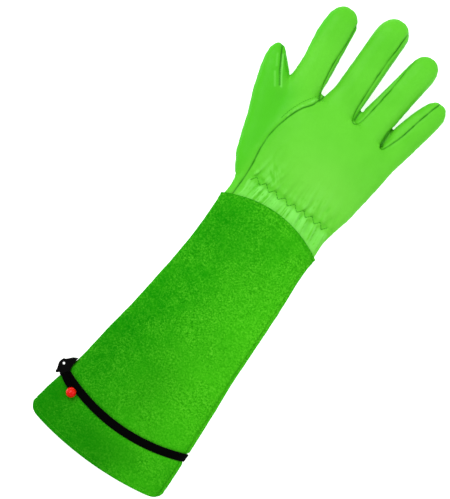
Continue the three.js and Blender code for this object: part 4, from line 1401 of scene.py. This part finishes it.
    def straighten_seams(self) -> None:
        """Moves the points between two pieces onto the middle of their seam."""
        skin = self.skin
        trees = [make_tree(points, faces) for points, faces in self.solids()]
        on_seam = np.unique(skin.edges[self.seam_edges()])
        normals = skin.normals()
        points = skin.points.copy()
        strips = [list(Label).index(strip.label) for strip in STRIPS]
        by_strip = np.unique(skin.faces[np.isin(self.labels, strips)])
        for index in np.setdiff1d(on_seam, by_strip):
            here, up = Vector(points[index]), Vector(normals[index])
            found = sorted((tree.find_nearest(here) for tree in trees), key=lambda hit: hit[3])
            other = found[1][0]
            aside = here - other
            aside -= up * aside.dot(up)
            if 1e-6 < aside.length < self.seam_reach:
                points[index] = here - aside + aside.normalized() * self.seam_half_gap
        skin.points = points
        seam = skin.edges[self.seam_edges()]
        for _ in range(self.seam_rounds):
            mean, count = neighbour_mean(skin.points, seam)
            line = count == 2
            skin.points[line] += 0.5 * (mean[line] - skin.points[line])
        fixed = np.zeros(len(points), dtype=bool)
        fixed[on_seam] = True
        near = fixed.copy()
        for _ in range(2):
            near[skin.edges[near[skin.edges].any(axis=1)]] = True
        near &= ~fixed
        for _ in range(3):
            mean = skin.spread(skin.points)
            skin.points[near] += 0.5 * (mean[near] - skin.points[near])

    def seam_distance(self) -> Array:
        """How far each point lies from the nearest seam.

        Returns:
            The distances in millimetres.
        """
        ends = self.skin.points[self.skin.edges[self.seam_edges()]]
        shares = np.linspace(0, 1, 4, endpoint=False)[None, :, None]
        dots = (ends[:, :1] * (1 - shares) + ends[:, 1:] * shares).reshape(-1, 3)
        kd = KDTree(len(dots))
        for index, dot in enumerate(dots):
            kd.insert(dot, index)
        kd.balance()
        return np.array([kd.find(point)[2] for point in self.skin.points]) / MM

    def build(self, leather: bpy.types.Material, patch: bpy.types.Material) -> None:
        """Builds the hand and dresses its pieces.

        Args:
            leather: the finish of the hand.
            patch: the finish of the palm patch.
        """
        self.outer_skin()
        self.straighten_seams()
        skin = self.skin
        away = self.seam_distance()
        normals = skin.normals()
        raised = LeatherMap(skin.points, normals).relief(away)
        skin.points = skin.points + normals * (raised * MM)[:, None]
        self.tree = make_tree(skin.points, skin.faces)
        shown = LeatherMap(skin.points, normals)
        carried = {
            "seam": shown.dark(away),
            "ridge_light_and_crease_shade": shown.ridge_light_and_crease_shade(),
            "tone": shown.tone(),
            "grain": shown.grain(),
        }
        for number, label in enumerate(Label):
            mask = self.labels == number
            if not mask.any():
                raise ValueError(f"no faces for {label.value}")
            part, used = skin.part(mask)
            piece = add_piece(label.value.replace("_", "-") + "-skin", part.points, part.faces)
            for name, values in carried.items():
                carry(piece, name, values[used])
            wall = piece.modifiers.new("wall", "SOLIDIFY")
            wall.thickness = self.leather
            wall.offset = -1
            apply_modifiers(piece)
            piece.data.set_sharp_from_angle(angle=math.radians(self.sharp))
            if label is Label.PATCH:
                finish_piece(piece, patch, [label.value])
            else:
                finish_piece(piece, leather, [label.value])


# Down the cuff, by shares of its length: shares of the way to the opening's thumb side and to
# its little-finger side, and of the bow.
CUFF_SIDES = np.array((
    (0, 0, 0, 1), (0.036, -0.05, -0.045, 0.95), (0.1, -0.065, -0.05, 0.85),
    (0.187, -0.05, 0.06, 0.7), (0.3, 0.02, 0.2, 0.4), (0.43, 0.14, 0.335, 0.1),
    (0.614, 0.375, 0.53, -0.25), (0.713, 0.485, 0.67, -0.55), (0.775, 0.565, 0.755, -0.8),
    (0.83, 0.67, 0.83, -0.95), (0.875, 0.78, 0.88, -0.97), (0.912, 0.865, 0.93, -0.95),
    (0.964, 0.945, 0.99, -0.8), (1, 1, 1, -0.606),
))
# Shares of the fall from the wrist's height, and of the rise to the opening's.
CUFF_HEIGHTS = np.array((
    (0, 0, 0), (0.036, 0, 0), (0.1, 0.6, 0), (0.25, 1.1, 0), (0.4, 0.9, 0),
    (0.6, 1.15, 0.1), (0.78, 1, 0.25), (0.9, 1, 0.5), (1, 1, 1),
))


@dataclass
class Cuff:
    """The long suede cuff: a flattened tube, hemmed at both ends.

    Its sizes are in millimetres. Its section is an ellipse at a squareness of 2 and a box far
    above it, and is widest at a share of its height.
    """

    length: float = 250.4
    bow: float = 13.9
    wrist_half: float = 52.3
    wrist_height: float = 21
    opening_width: float = 143.4
    opening_offset: float = -6.9
    opening_corner: float = 7
    height: float = 18.5
    opening_height: float = 22
    wall: float = 1.8
    strap_y: float = -212.4
    strap_bow: float = 13.2
    groove_half: float = 4.15
    groove_depth: float = 1.75
    hem: float = 3.6
    squareness: float = 2.6
    widest: float = 0.45
    around: int = 240
    rows: int = 150
    ring: Array = field(init=False)
    tree: BVHTree = field(init=False)

    def make_ring(self) -> None:
        """Spreads the points of the section evenly round it."""
        steps, half_width, half_height = 4001, 62, 10
        angle = np.linspace(0, 2 * math.pi, steps)
        power = 2 / self.squareness
        across = np.sign(np.cos(angle)) * np.abs(np.cos(angle)) ** power
        up = np.sign(np.sin(angle)) * np.abs(np.sin(angle)) ** power
        run = np.hypot(np.diff(across * half_width), np.diff(up * half_height))
        total = np.concatenate([[0], np.cumsum(run)])
        even = np.linspace(0, total[-1], self.around, endpoint=False)
        self.ring = np.stack([np.interp(even, total, across), np.interp(even, total, up)], axis=1)

    def row(self, share: float) -> tuple[float, float, float, float]:
        """The section at a share of the way to the opening.

        Args:
            share: from nought at the hand to one at the opening.

        Returns:
            Its left side, right side, height and bow, in millimetres.
        """
        thumb, little, bow = smooth_table(CUFF_SIDES, np.array([share]))[0]
        body, flare = smooth_table(CUFF_HEIGHTS, np.array([share]))[0]
        half = self.opening_width / 2
        left = -self.wrist_half * (1 - thumb) + (self.opening_offset - half) * thumb
        right = self.wrist_half * (1 - little) + (self.opening_offset + half) * little
        top = self.wrist_height + (self.height - self.wrist_height) * body
        top += (self.opening_height - self.height) * flare
        return left, right, top, bow * (self.bow if bow > 0 else self.strap_bow)

    def section(self, share: float, inset: float = 0, bow: float | None = None) -> Array:
        """The points of one section, in millimetres in the source's frame.

        Args:
            share: from nought at the hand to one at the opening.
            inset: how far inside the cuff's face it lies.
            bow: the section's bow, or None for the cuff's own.

        Returns:
            One point a place of the ring.
        """
        left, right, top, own = self.row(share)
        bow_here = own if bow is None else bow
        across, up = self.ring.T
        centre, half = (left + right) / 2, (right - left) / 2 - inset
        mid = self.widest * top
        above = mid + (top - mid - inset) * up
        below = np.maximum(inset, mid + (mid - inset + 1.2) * up)
        near_hand = 0.25 + 0.75 * min(1, share / 0.3) if bow is None else 1
        bow_side = np.where(up >= 0, bow_here, bow_here * near_hand)
        corner = -self.opening_corner * step(np.array([share]), 0.93, 1)[0]
        corner = corner * (1 - np.abs(across) ** 24)
        y = -self.length * share + bow_side * (1 - across**2) + corner
        return np.stack([centre + half * across, y, np.where(up >= 0, above, below)], axis=1)

    def topstitch(self, sewing: "Sewing") -> None:
        """Sews a row round the opening's hem.

        Args:
            sewing: takes the stitches.
        """
        pitch, radius = 2.6 * MM, 0.2 * MM
        ring = self.to_row(self.section(1 - self.hem / self.length))
        ring = np.vstack([ring, ring[:1]])
        count = int(run_along(ring)[-1] / pitch)
        marks = stitch_marks(ring, count)
        for first in range(0, count * STITCH_MARKS, STITCH_MARKS):
            ends = [self.tree.find_nearest(Vector(marks[first + k])) for k in (1, LAST_MARK)]
            up = np.array(ends[0][1] + ends[1][1])
            one, two = (np.array(hit[0]) for hit in ends)
            sewing.stitch(one, two, up / np.linalg.norm(up), radius)

    def to_row(self, points: Array) -> Array:
        """Moves points from the source's frame to the row frame, in metres."""
        moved = points.copy()
        moved[..., :2] += SHIFT
        return moved * MM

    def build(self, suede: bpy.types.Material) -> None:
        """Builds and dresses the cuff.

        Args:
            suede: its finish.
        """
        self.make_ring()
        ends = np.array([0, 0.6, 1.4, 2.2, 3, 3.8, 4.8, 6]) / self.length
        body = np.linspace(ends[-1], 1 - ends[-1], self.rows + 2)[1:-1]
        shares = np.concatenate([ends, body, 1 - ends[::-1]])
        grid = np.stack([self.section(share) for share in shares])
        count = self.around
        rows = len(shares)
        number = np.arange(rows * count).reshape(rows, count)
        beside = np.roll(number, -1, axis=1)
        faces = np.stack([number[:-1], beside[:-1], beside[1:], number[1:]], axis=2).reshape(-1, 4)
        skin = Skin(self.to_row(grid).reshape(-1, 3), faces)
        normals = skin.normals()
        place = grid.reshape(-1, 3)
        across, up = np.tile(self.ring, (rows, 1)).T
        share = np.repeat(shares, count)
        from_side = self.from_side(across, up, share)
        raised = self.relief(place, across, up, share) + self.side_welt(from_side, share)
        skin.points = skin.points + normals * (raised * MM)[:, None]
        self.tree = make_tree(skin.points, skin.faces)
        piece = add_piece("cuff-suede-tube", skin.points, skin.faces)
        # The seam attribute carries the seam lines and the painted shade.
        carry(piece, "seam", self.dark(place, across, share, from_side, skin.normals()))
        # Painted light, paler towards the little-finger side.
        carry(piece, "wear_and_painted_light", self.wear_and_painted_light(across, share, from_side))
        wall = piece.modifiers.new("wall", "SOLIDIFY")
        wall.thickness = self.wall * MM
        wall.offset = -1
        apply_modifiers(piece)
        finish_piece(piece, suede, ["cuff"])

    def dark(
        self, place: Array, across: Array, share: Array, from_side: Array, normals: Array
    ) -> Array:
        """How dark the suede is: seam lines and both ends' edges, with painted shade in its crease
        and groove, over the thumb side and on the steep sides.

        Args:
            place: the points, in millimetres in the source's frame.
            across: their place across the section.
            share: their share of the way to the opening.
            from_side: their distance from the little-finger edge.
            normals: their normals.

        Returns:
            Shares from nought to one.
        """
        edge = np.minimum(share, 1 - share) * self.length
        # Painted shade in the crease inside the side welt.
        crease = (0.3 + 0.6 * step(share, 0.15, 0.45)) * bell(from_side - 3.3, 0.75)
        dark = np.maximum(0.6 * bell(from_side, 0.9), crease) * step(share, 0.004, 0.02)
        dark = np.maximum(dark, 0.6 * bell(edge, 1.3))
        # Painted shade in the hem's groove near the hand end.
        dark = np.maximum(dark, 0.5 * bell(share * self.length - 2.9, 0.8))
        # Painted shade over the top face, deepest on the thumb side and towards the opening.
        painted_shade = 0.2 + 0.36 * step(share, 0.4, 0.72) + 0.34 * step(share, 0.84, 0.94)
        painted_shade *= 1 - 0.62 * step(across, 0, 0.75)
        clouds = 0.1 * value_noise(place, 24, Pattern.CUFF_GLOOM)
        painted_shade += 0.12 * (1 - step(across, -0.9, -0.35)) + clouds
        dark = np.maximum(dark, painted_shade * step(normals[:, 2], 0, 0.3))
        # Painted shade on the steep sides, where the surface turns away from the light above.
        return np.maximum(dark, 0.5 * step(1 - np.abs(normals[:, 2]), 0.55, 1))

    def wear_and_painted_light(self, across: Array, share: Array, from_side: Array) -> Array:
        """How pale the suede is painted: painted light towards the little-finger side and away from
        the hand, less near the opening, and a painted highlight on the side welt.

        Args:
            across: the points' place across the section.
            share: their share of the way to the opening.
            from_side: their distance from the little-finger edge.

        Returns:
            Shares from nought up.
        """
        wear_and_painted_light = step(across, -0.75, 0.95) * (0.55 + 0.45 * step(share, 0.1, 0.5))
        wear_and_painted_light *= 1 - 0.4 * step(share, 0.84, 0.9)
        # Painted highlight on the side welt.
        return wear_and_painted_light + 0.5 * bell(from_side - 1.7, 0.8) * step(share, 0.15, 0.45)

    def from_side(self, across: Array, up: Array, share: Array) -> Array:
        """How far each point of the back lies from the little-finger edge, in millimetres.

        Args:
            across: the points' place across the section.
            up: their place up the section.
            share: their share of the way to the opening.

        Returns:
            The distances, far off on the palm side.
        """
        half = self.wrist_half + (self.opening_width / 2 - self.wrist_half) * share
        far_off = 99
        return np.where(up > -0.25, half * (1 - across), far_off)

    def side_welt(self, from_side: Array, share: Array) -> Array:
        """The seam along the little-finger edge: a welt and the crease inside it."""
        ends = step(share, 0.0, 0.02)
        return ends * (0.3 * bell(from_side - 1.8, 0.8) - 0.4 * bell(from_side - 3.2, 0.6))

    def relief(self, place: Array, across: Array, up: Array, share: Array) -> Array:
        """How far each point of the cuff is raised, in millimetres.

        Args:
            place: the points, in millimetres in the source's frame.
            across: their place across the section.
            up: their place up the section.
            share: their share of the way to the opening.

        Returns:
            The raise.
        """
        strap = np.abs(place[:, 1] - (self.strap_y - self.strap_bow * (1 - across**2)))
        groove = 1 - step(strap, self.groove_half - 0.6, self.groove_half + 1.6)
        raised = -self.groove_depth * groove
        from_hand = share * self.length
        from_opening = (1 - share) * self.length
        soft = step(from_hand, 0, 14) * step(from_opening, 0, 10) * step(strap, 4, 12)
        waves = 0.75 * value_noise(place, 42, Pattern.CUFF_WAVES)
        waves += 0.35 * value_noise(place, 19, Pattern.CUFF_RIPPLES)
        raised += soft * waves * step(up, -0.9, -0.2)
        for edge in (from_hand + 0.7, from_opening):
            raised += 0.12 * bell(edge - 6, 2) - 0.3 * bell(edge - self.hem, 0.7)
        raised += 0.16 * value_noise(place, 6, Pattern.CUFF_NAP) * soft
        return raised


class Sewing:
    """Lays small stitches over a surface, each a short closed thread."""

    sides = 6
    along = np.array([-0.5, -0.4, 0, 0.4, 0.5])
    swell = np.array([0.4, 0.85, 1, 0.85, 0.4])
    lift = np.array([-1.0, -0.1, 0.35, -0.1, -1.0])

    def __init__(self) -> None:
        """Starts with no stitches."""
        self.points: list[Array] = []
        self.faces: list[list[int]] = []
        self.count = 0

    def stitch(self, start: Array, end: Array, up: Array, radius: float) -> None:
        """Adds one stitch.

        Args:
            start: where it leaves the leather, in metres.
            end: where it goes back in.
            up: the surface's normal there.
            radius: the thread's radius, in metres.
        """
        way = end - start
        span = np.linalg.norm(way)
        way = way / span
        side = np.cross(up, way)
        side /= max(np.linalg.norm(side), 1e-9)
        out = np.cross(way, side)
        middle = (start + end) / 2
        angle = np.arange(self.sides) / self.sides * 2 * math.pi
        ring = np.cos(angle)[:, None] * side + np.sin(angle)[:, None] * out
        rows = [
            middle + way * span * a + out * radius * h + ring * radius * s
            for a, s, h in zip(self.along, self.swell, self.lift)
        ]
        first = self.count
        self.points.extend(rows)
        for r in range(len(rows) - 1):
            for k in range(self.sides):
                a, b = first + r * self.sides + k, first + r * self.sides + (k + 1) % self.sides
                self.faces.append([a, b, b + self.sides, a + self.sides])
        last = first + (len(rows) - 1) * self.sides
        self.faces.append([first + k for k in range(self.sides)][::-1])
        self.faces.append([last + k for k in range(self.sides)])
        self.count += len(rows) * self.sides

    def lay(self, tree: BVHTree, path: Array, seam: Seam) -> None:
        """Lays a row of stitches along a path.

        Args:
            tree: a search tree over the surface.
            path: the path in millimetres in the row frame, seen from above.
            seam: the kind of row.
        """
        side = 1 if seam.on_back else -1
        start, way = 0.1 * side, Vector((0, 0, -side))
        longest = 2.2 * seam.pitch * MM
        legs = [path] if not seam.sharp else [path[i : i + 2] for i in range(len(path) - 1)]
        for leg in legs:
            count = max(1, round(run_along(leg)[-1] / seam.pitch))
            marks = stitch_marks(leg, count) * MM
            for first in range(0, count * STITCH_MARKS, STITCH_MARKS):
                spots = (marks[first], marks[first + LAST_MARK])
                ends = [tree.ray_cast(Vector((*spot, start)), way) for spot in spots]
                if any(hit[0] is None for hit in ends):
                    continue
                one, two = (np.array(hit[0]) for hit in ends)
                if np.linalg.norm(two - one) > longest:
                    continue
                up = np.array(ends[0][1] + ends[1][1])
                up *= 1 if (up[2] > 0) == seam.on_back else -1
                self.stitch(one, two, up / np.linalg.norm(up), seam.radius * MM)

    def build(self, name: str, thread: bpy.types.Material) -> None:
        """Makes the stitches one piece.

        Args:
            name: the piece's name.
            thread: its finish.
        """
        piece = add_piece(name, np.vstack(self.points), self.faces)
        finish_piece(piece, thread, [])


def curve(path: Path, parts: int = 8) -> Array:
    """A smooth curve through a path's points.

    Args:
        path: the points.
        parts: how many parts lie between two of them.

    Returns:
        The curve's points.
    """
    knots = np.array(path, dtype=float)
    padded = np.vstack([2 * knots[0] - knots[1], knots, 2 * knots[-1] - knots[-2]])
    made = []
    for a, b, c, d in zip(padded, padded[1:], padded[2:], padded[3:]):
        for k in range(parts):
            t = k / parts
            made.append(
                0.5 * (2 * b + (c - a) * t + (2 * a - 5 * b + 4 * c - d) * t**2
                       + (3 * b - a - 3 * c + d) * t**3)
            )
    made.append(knots[-1])
    return np.array(made)


@dataclass
class Strap:
    """The black elastic round the opening, its toggle, its tail and the bead.

    Its sizes are in millimetres.
    """

    cuff: Cuff
    width: float = 7.7
    thick: float = 1.6
    proud: float = 0.35

    def band(self, webbing: bpy.types.Material) -> None:
        """Builds the woven band round the cuff.

        Args:
            webbing: its finish.
        """
        share = -self.cuff.strap_y / self.cuff.length
        bow = -self.cuff.strap_bow
        outer = self.cuff.section(share, -self.proud, bow)
        inner = self.cuff.section(share, self.thick - 0.05, bow)
        half = self.width / 2
        half_section = [(half - 0.3, 0), (half, 0.2), (half, 0.8), (half - 0.3, 1), (half / 3, 1)]
        section = [(-y, depth) for y, depth in half_section] + half_section[::-1]
        count = self.cuff.around
        rings = [
            outer * (1 - depth) + inner * depth + np.array([0, y, 0]) for y, depth in section
        ]
        grid = np.stack(rings)
        rows = len(section)
        number = np.arange(rows * count).reshape(rows, count)
        after = np.roll(number, -1, axis=0)
        corners = [number, np.roll(number, -1, axis=1), np.roll(after, -1, axis=1), after]
        faces = np.stack(corners, axis=2).reshape(-1, 4)
        piece = add_piece("strap-elastic-band", self.cuff.to_row(grid).reshape(-1, 3), faces)
        run = run_along(outer)
        uv = piece.data.uv_layers.new(name="weave")
        loops = np.empty(len(piece.data.loops), dtype=np.int64)
        piece.data.loops.foreach_get("vertex_index", loops)
        column, line = loops % count, loops // count
        across = np.array([y for y, _ in section])[line]
        uv.data.foreach_set("uv", np.stack([run[column], across], axis=1).reshape(-1))
        select_only(piece)
        bpy.ops.object.mode_set(mode="EDIT")
        bpy.ops.mesh.select_all(action="SELECT")
        bpy.ops.mesh.normals_make_consistent(inside=False)
        bpy.ops.object.mode_set(mode="OBJECT")
        finish_piece(piece, webbing, ["cuff_strap"])

    def soft_copy(self, node: str, name: str, voxel: float, rounds: int) -> bpy.types.Object:
        """A rounded copy of a solid.

        Args:
            node: the solid's node.
            name: the new piece's name.
            voxel: the size of its faces, in millimetres.
            rounds: how often it is smoothed.

        Returns:
            The new object.
        """
        points, faces = read_mesh(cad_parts[node])
        rough = add_piece(name, points, faces)
        skin = remesh(rough, voxel * MM)
        skin.even_out(rounds)
        return add_piece(name, skin.points, skin.faces)

    def build(
        self, webbing: bpy.types.Material, plastic: bpy.types.Material, gloss: bpy.types.Material
    ) -> None:
        """Builds and dresses the strap's pieces.

        Args:
            webbing: the woven finish.
            plastic: the toggle's finish.
            gloss: the bead's finish.
        """
        self.band(webbing)
        toggle = self.soft_copy("strap_toggle", "strap-toggle-body", 0.32, 3)
        finish_piece(toggle, plastic, ["strap_toggle"])
        tail = self.soft_copy("strap_tail", "strap-tail-end", 0.28, 4)
        finish_piece(tail, webbing, ["strap_tail"])
        bead = self.soft_copy("tail_bead", "tail-bead-ball", 0.22, 12)
        finish_piece(bead, gloss, ["tail_bead"])


@dataclass
class Studio:
    """Plain pale floor, soft light and the camera over the gauntlet."""

    centre: tuple[float, float] = (-8.7, -16.4)
    turn: float = 36
    distance: float = 4.5
    tall: float = 449.1 * MM

    def camera(self) -> None:
        """Looks straight down, turned as the picture is."""
        data = bpy.data.cameras.new("camera")
        data.sensor_width = 36
        data.lens = data.sensor_width * self.distance / self.tall
        data.clip_end = 20
        eye = bpy.data.objects.new("camera", data)
        eye.location = (self.centre[0] * MM, self.centre[1] * MM, self.distance)
        eye.rotation_euler = (0, 0, math.radians(self.turn))
        bpy.context.scene.collection.objects.link(eye)
        bpy.context.scene.camera = eye

    def lamp(
        self, name: str, right: float, up: float, high: float, size: float, power: float
    ) -> None:
        """Adds a square lamp that faces the gauntlet.

        Args:
            name: the lamp's name.
            right: how far right of the picture's centre it hangs, in metres.
            up: how far up the picture.
            high: how far over the floor.
            size: its side in metres.
            power: its power in watts.
        """
        data = bpy.data.lights.new(name, "AREA")
        data.size = size
        data.energy = power
        lamp = bpy.data.objects.new(name, data)
        turn = math.radians(self.turn)
        x = right * math.cos(turn) - up * math.sin(turn)
        y = right * math.sin(turn) + up * math.cos(turn)
        lamp.location = (x, y, high)
        way = Vector((0, 0, 0.01)) - lamp.location
        lamp.rotation_euler = way.to_track_quat("-Z", "Y").to_euler()
        bpy.context.scene.collection.objects.link(lamp)

    def floor(self, height: float) -> None:
        """Lays the pale floor under the gauntlet.

        Args:
            height: the height of its top, in metres.
        """
        bpy.ops.object.select_all(action="DESELECT")
        bpy.ops.mesh.primitive_plane_add(size=6, location=(0, 0, 0))
        floor = bpy.context.object
        floor.name = "floor"
        for vertex in floor.data.vertices:
            vertex.co.z = height
        recipe = Recipe("floor_paper", 0.9)
        tone = recipe.remap(recipe.noise(260, 2), (0.3, 0.7), (0, 1))
        colour = recipe.mix(tone, (0.93, 0.93, 0.93, 1), (0.95, 0.95, 0.95, 1))
        relief = recipe.bump(recipe.noise(0.8, 2), 0.02, 0.1)
        recipe.shader.inputs["Emission Color"].default_value = (1, 1, 1, 1)
        finish = recipe.dress(colour, relief, Specular_IOR_Level=0.1, Emission_Strength=0.75)
        floor.data.materials.append(finish)
        floor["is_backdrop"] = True

    def build(self) -> None:
        """Sets the stage."""
        self.camera()
        world = bpy.data.worlds.new("studio")
        world.use_nodes = True
        sky = world.node_tree.nodes["Background"]
        sky.inputs["Color"].default_value = (1, 1, 1, 1)
        sky.inputs["Strength"].default_value = 0.7
        bpy.context.scene.world = world
        self.lamp("key", right=-0.5, up=0.75, high=1.3, size=0.9, power=15)
        self.lamp("fill", right=0.9, up=-0.2, high=1.2, size=1.0, power=6)
        bpy.context.scene.view_settings.view_transform = "Standard"


def main() -> None:
    """Builds the gauntlet's pieces in order and sets the studio."""
    logging.basicConfig(level=logging.INFO, format="%(name)s: %(message)s")
    studio = Studio()
    studio.build()
    leather = GrainLeather().make()
    hand = Hand()
    hand.build(leather, PatchSuede().make())
    cuff = Cuff()
    cuff.build(CuffSuede().make())
    green = Thread("thread_green", (46, 158, 8), (24, 122, 0)).make()
    olive = Thread("thread_olive", (178, 190, 70), (120, 138, 30)).make()
    sewing = Sewing()
    sewing.lay(hand.tree, np.array(ELASTIC.path) + GRID_SHIFT, ELASTIC)
    sewing.lay(hand.tree, curve(SECOND_ROW.path) + GRID_SHIFT, SECOND_ROW)
    sewing.build("stitches-back", green)
    sewing = Sewing()
    for seam in PALM_SEAMS:
        sewing.lay(hand.tree, curve(seam.path) + GRID_SHIFT, seam)
    sewing.build("stitches-palm", olive)
    sewing = Sewing()
    cuff.topstitch(sewing)
    sewing.build("stitches-cuff", Thread("thread_deep", (76, 176, 20), (36, 150, 8)).make())
    strap = Strap(cuff)
    strap.build(Webbing().make(), MouldedPlastic().make(), BeadGloss().make())
    low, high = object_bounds()
    studio.floor(low.z)


if __name__ == "__main__":
    main()
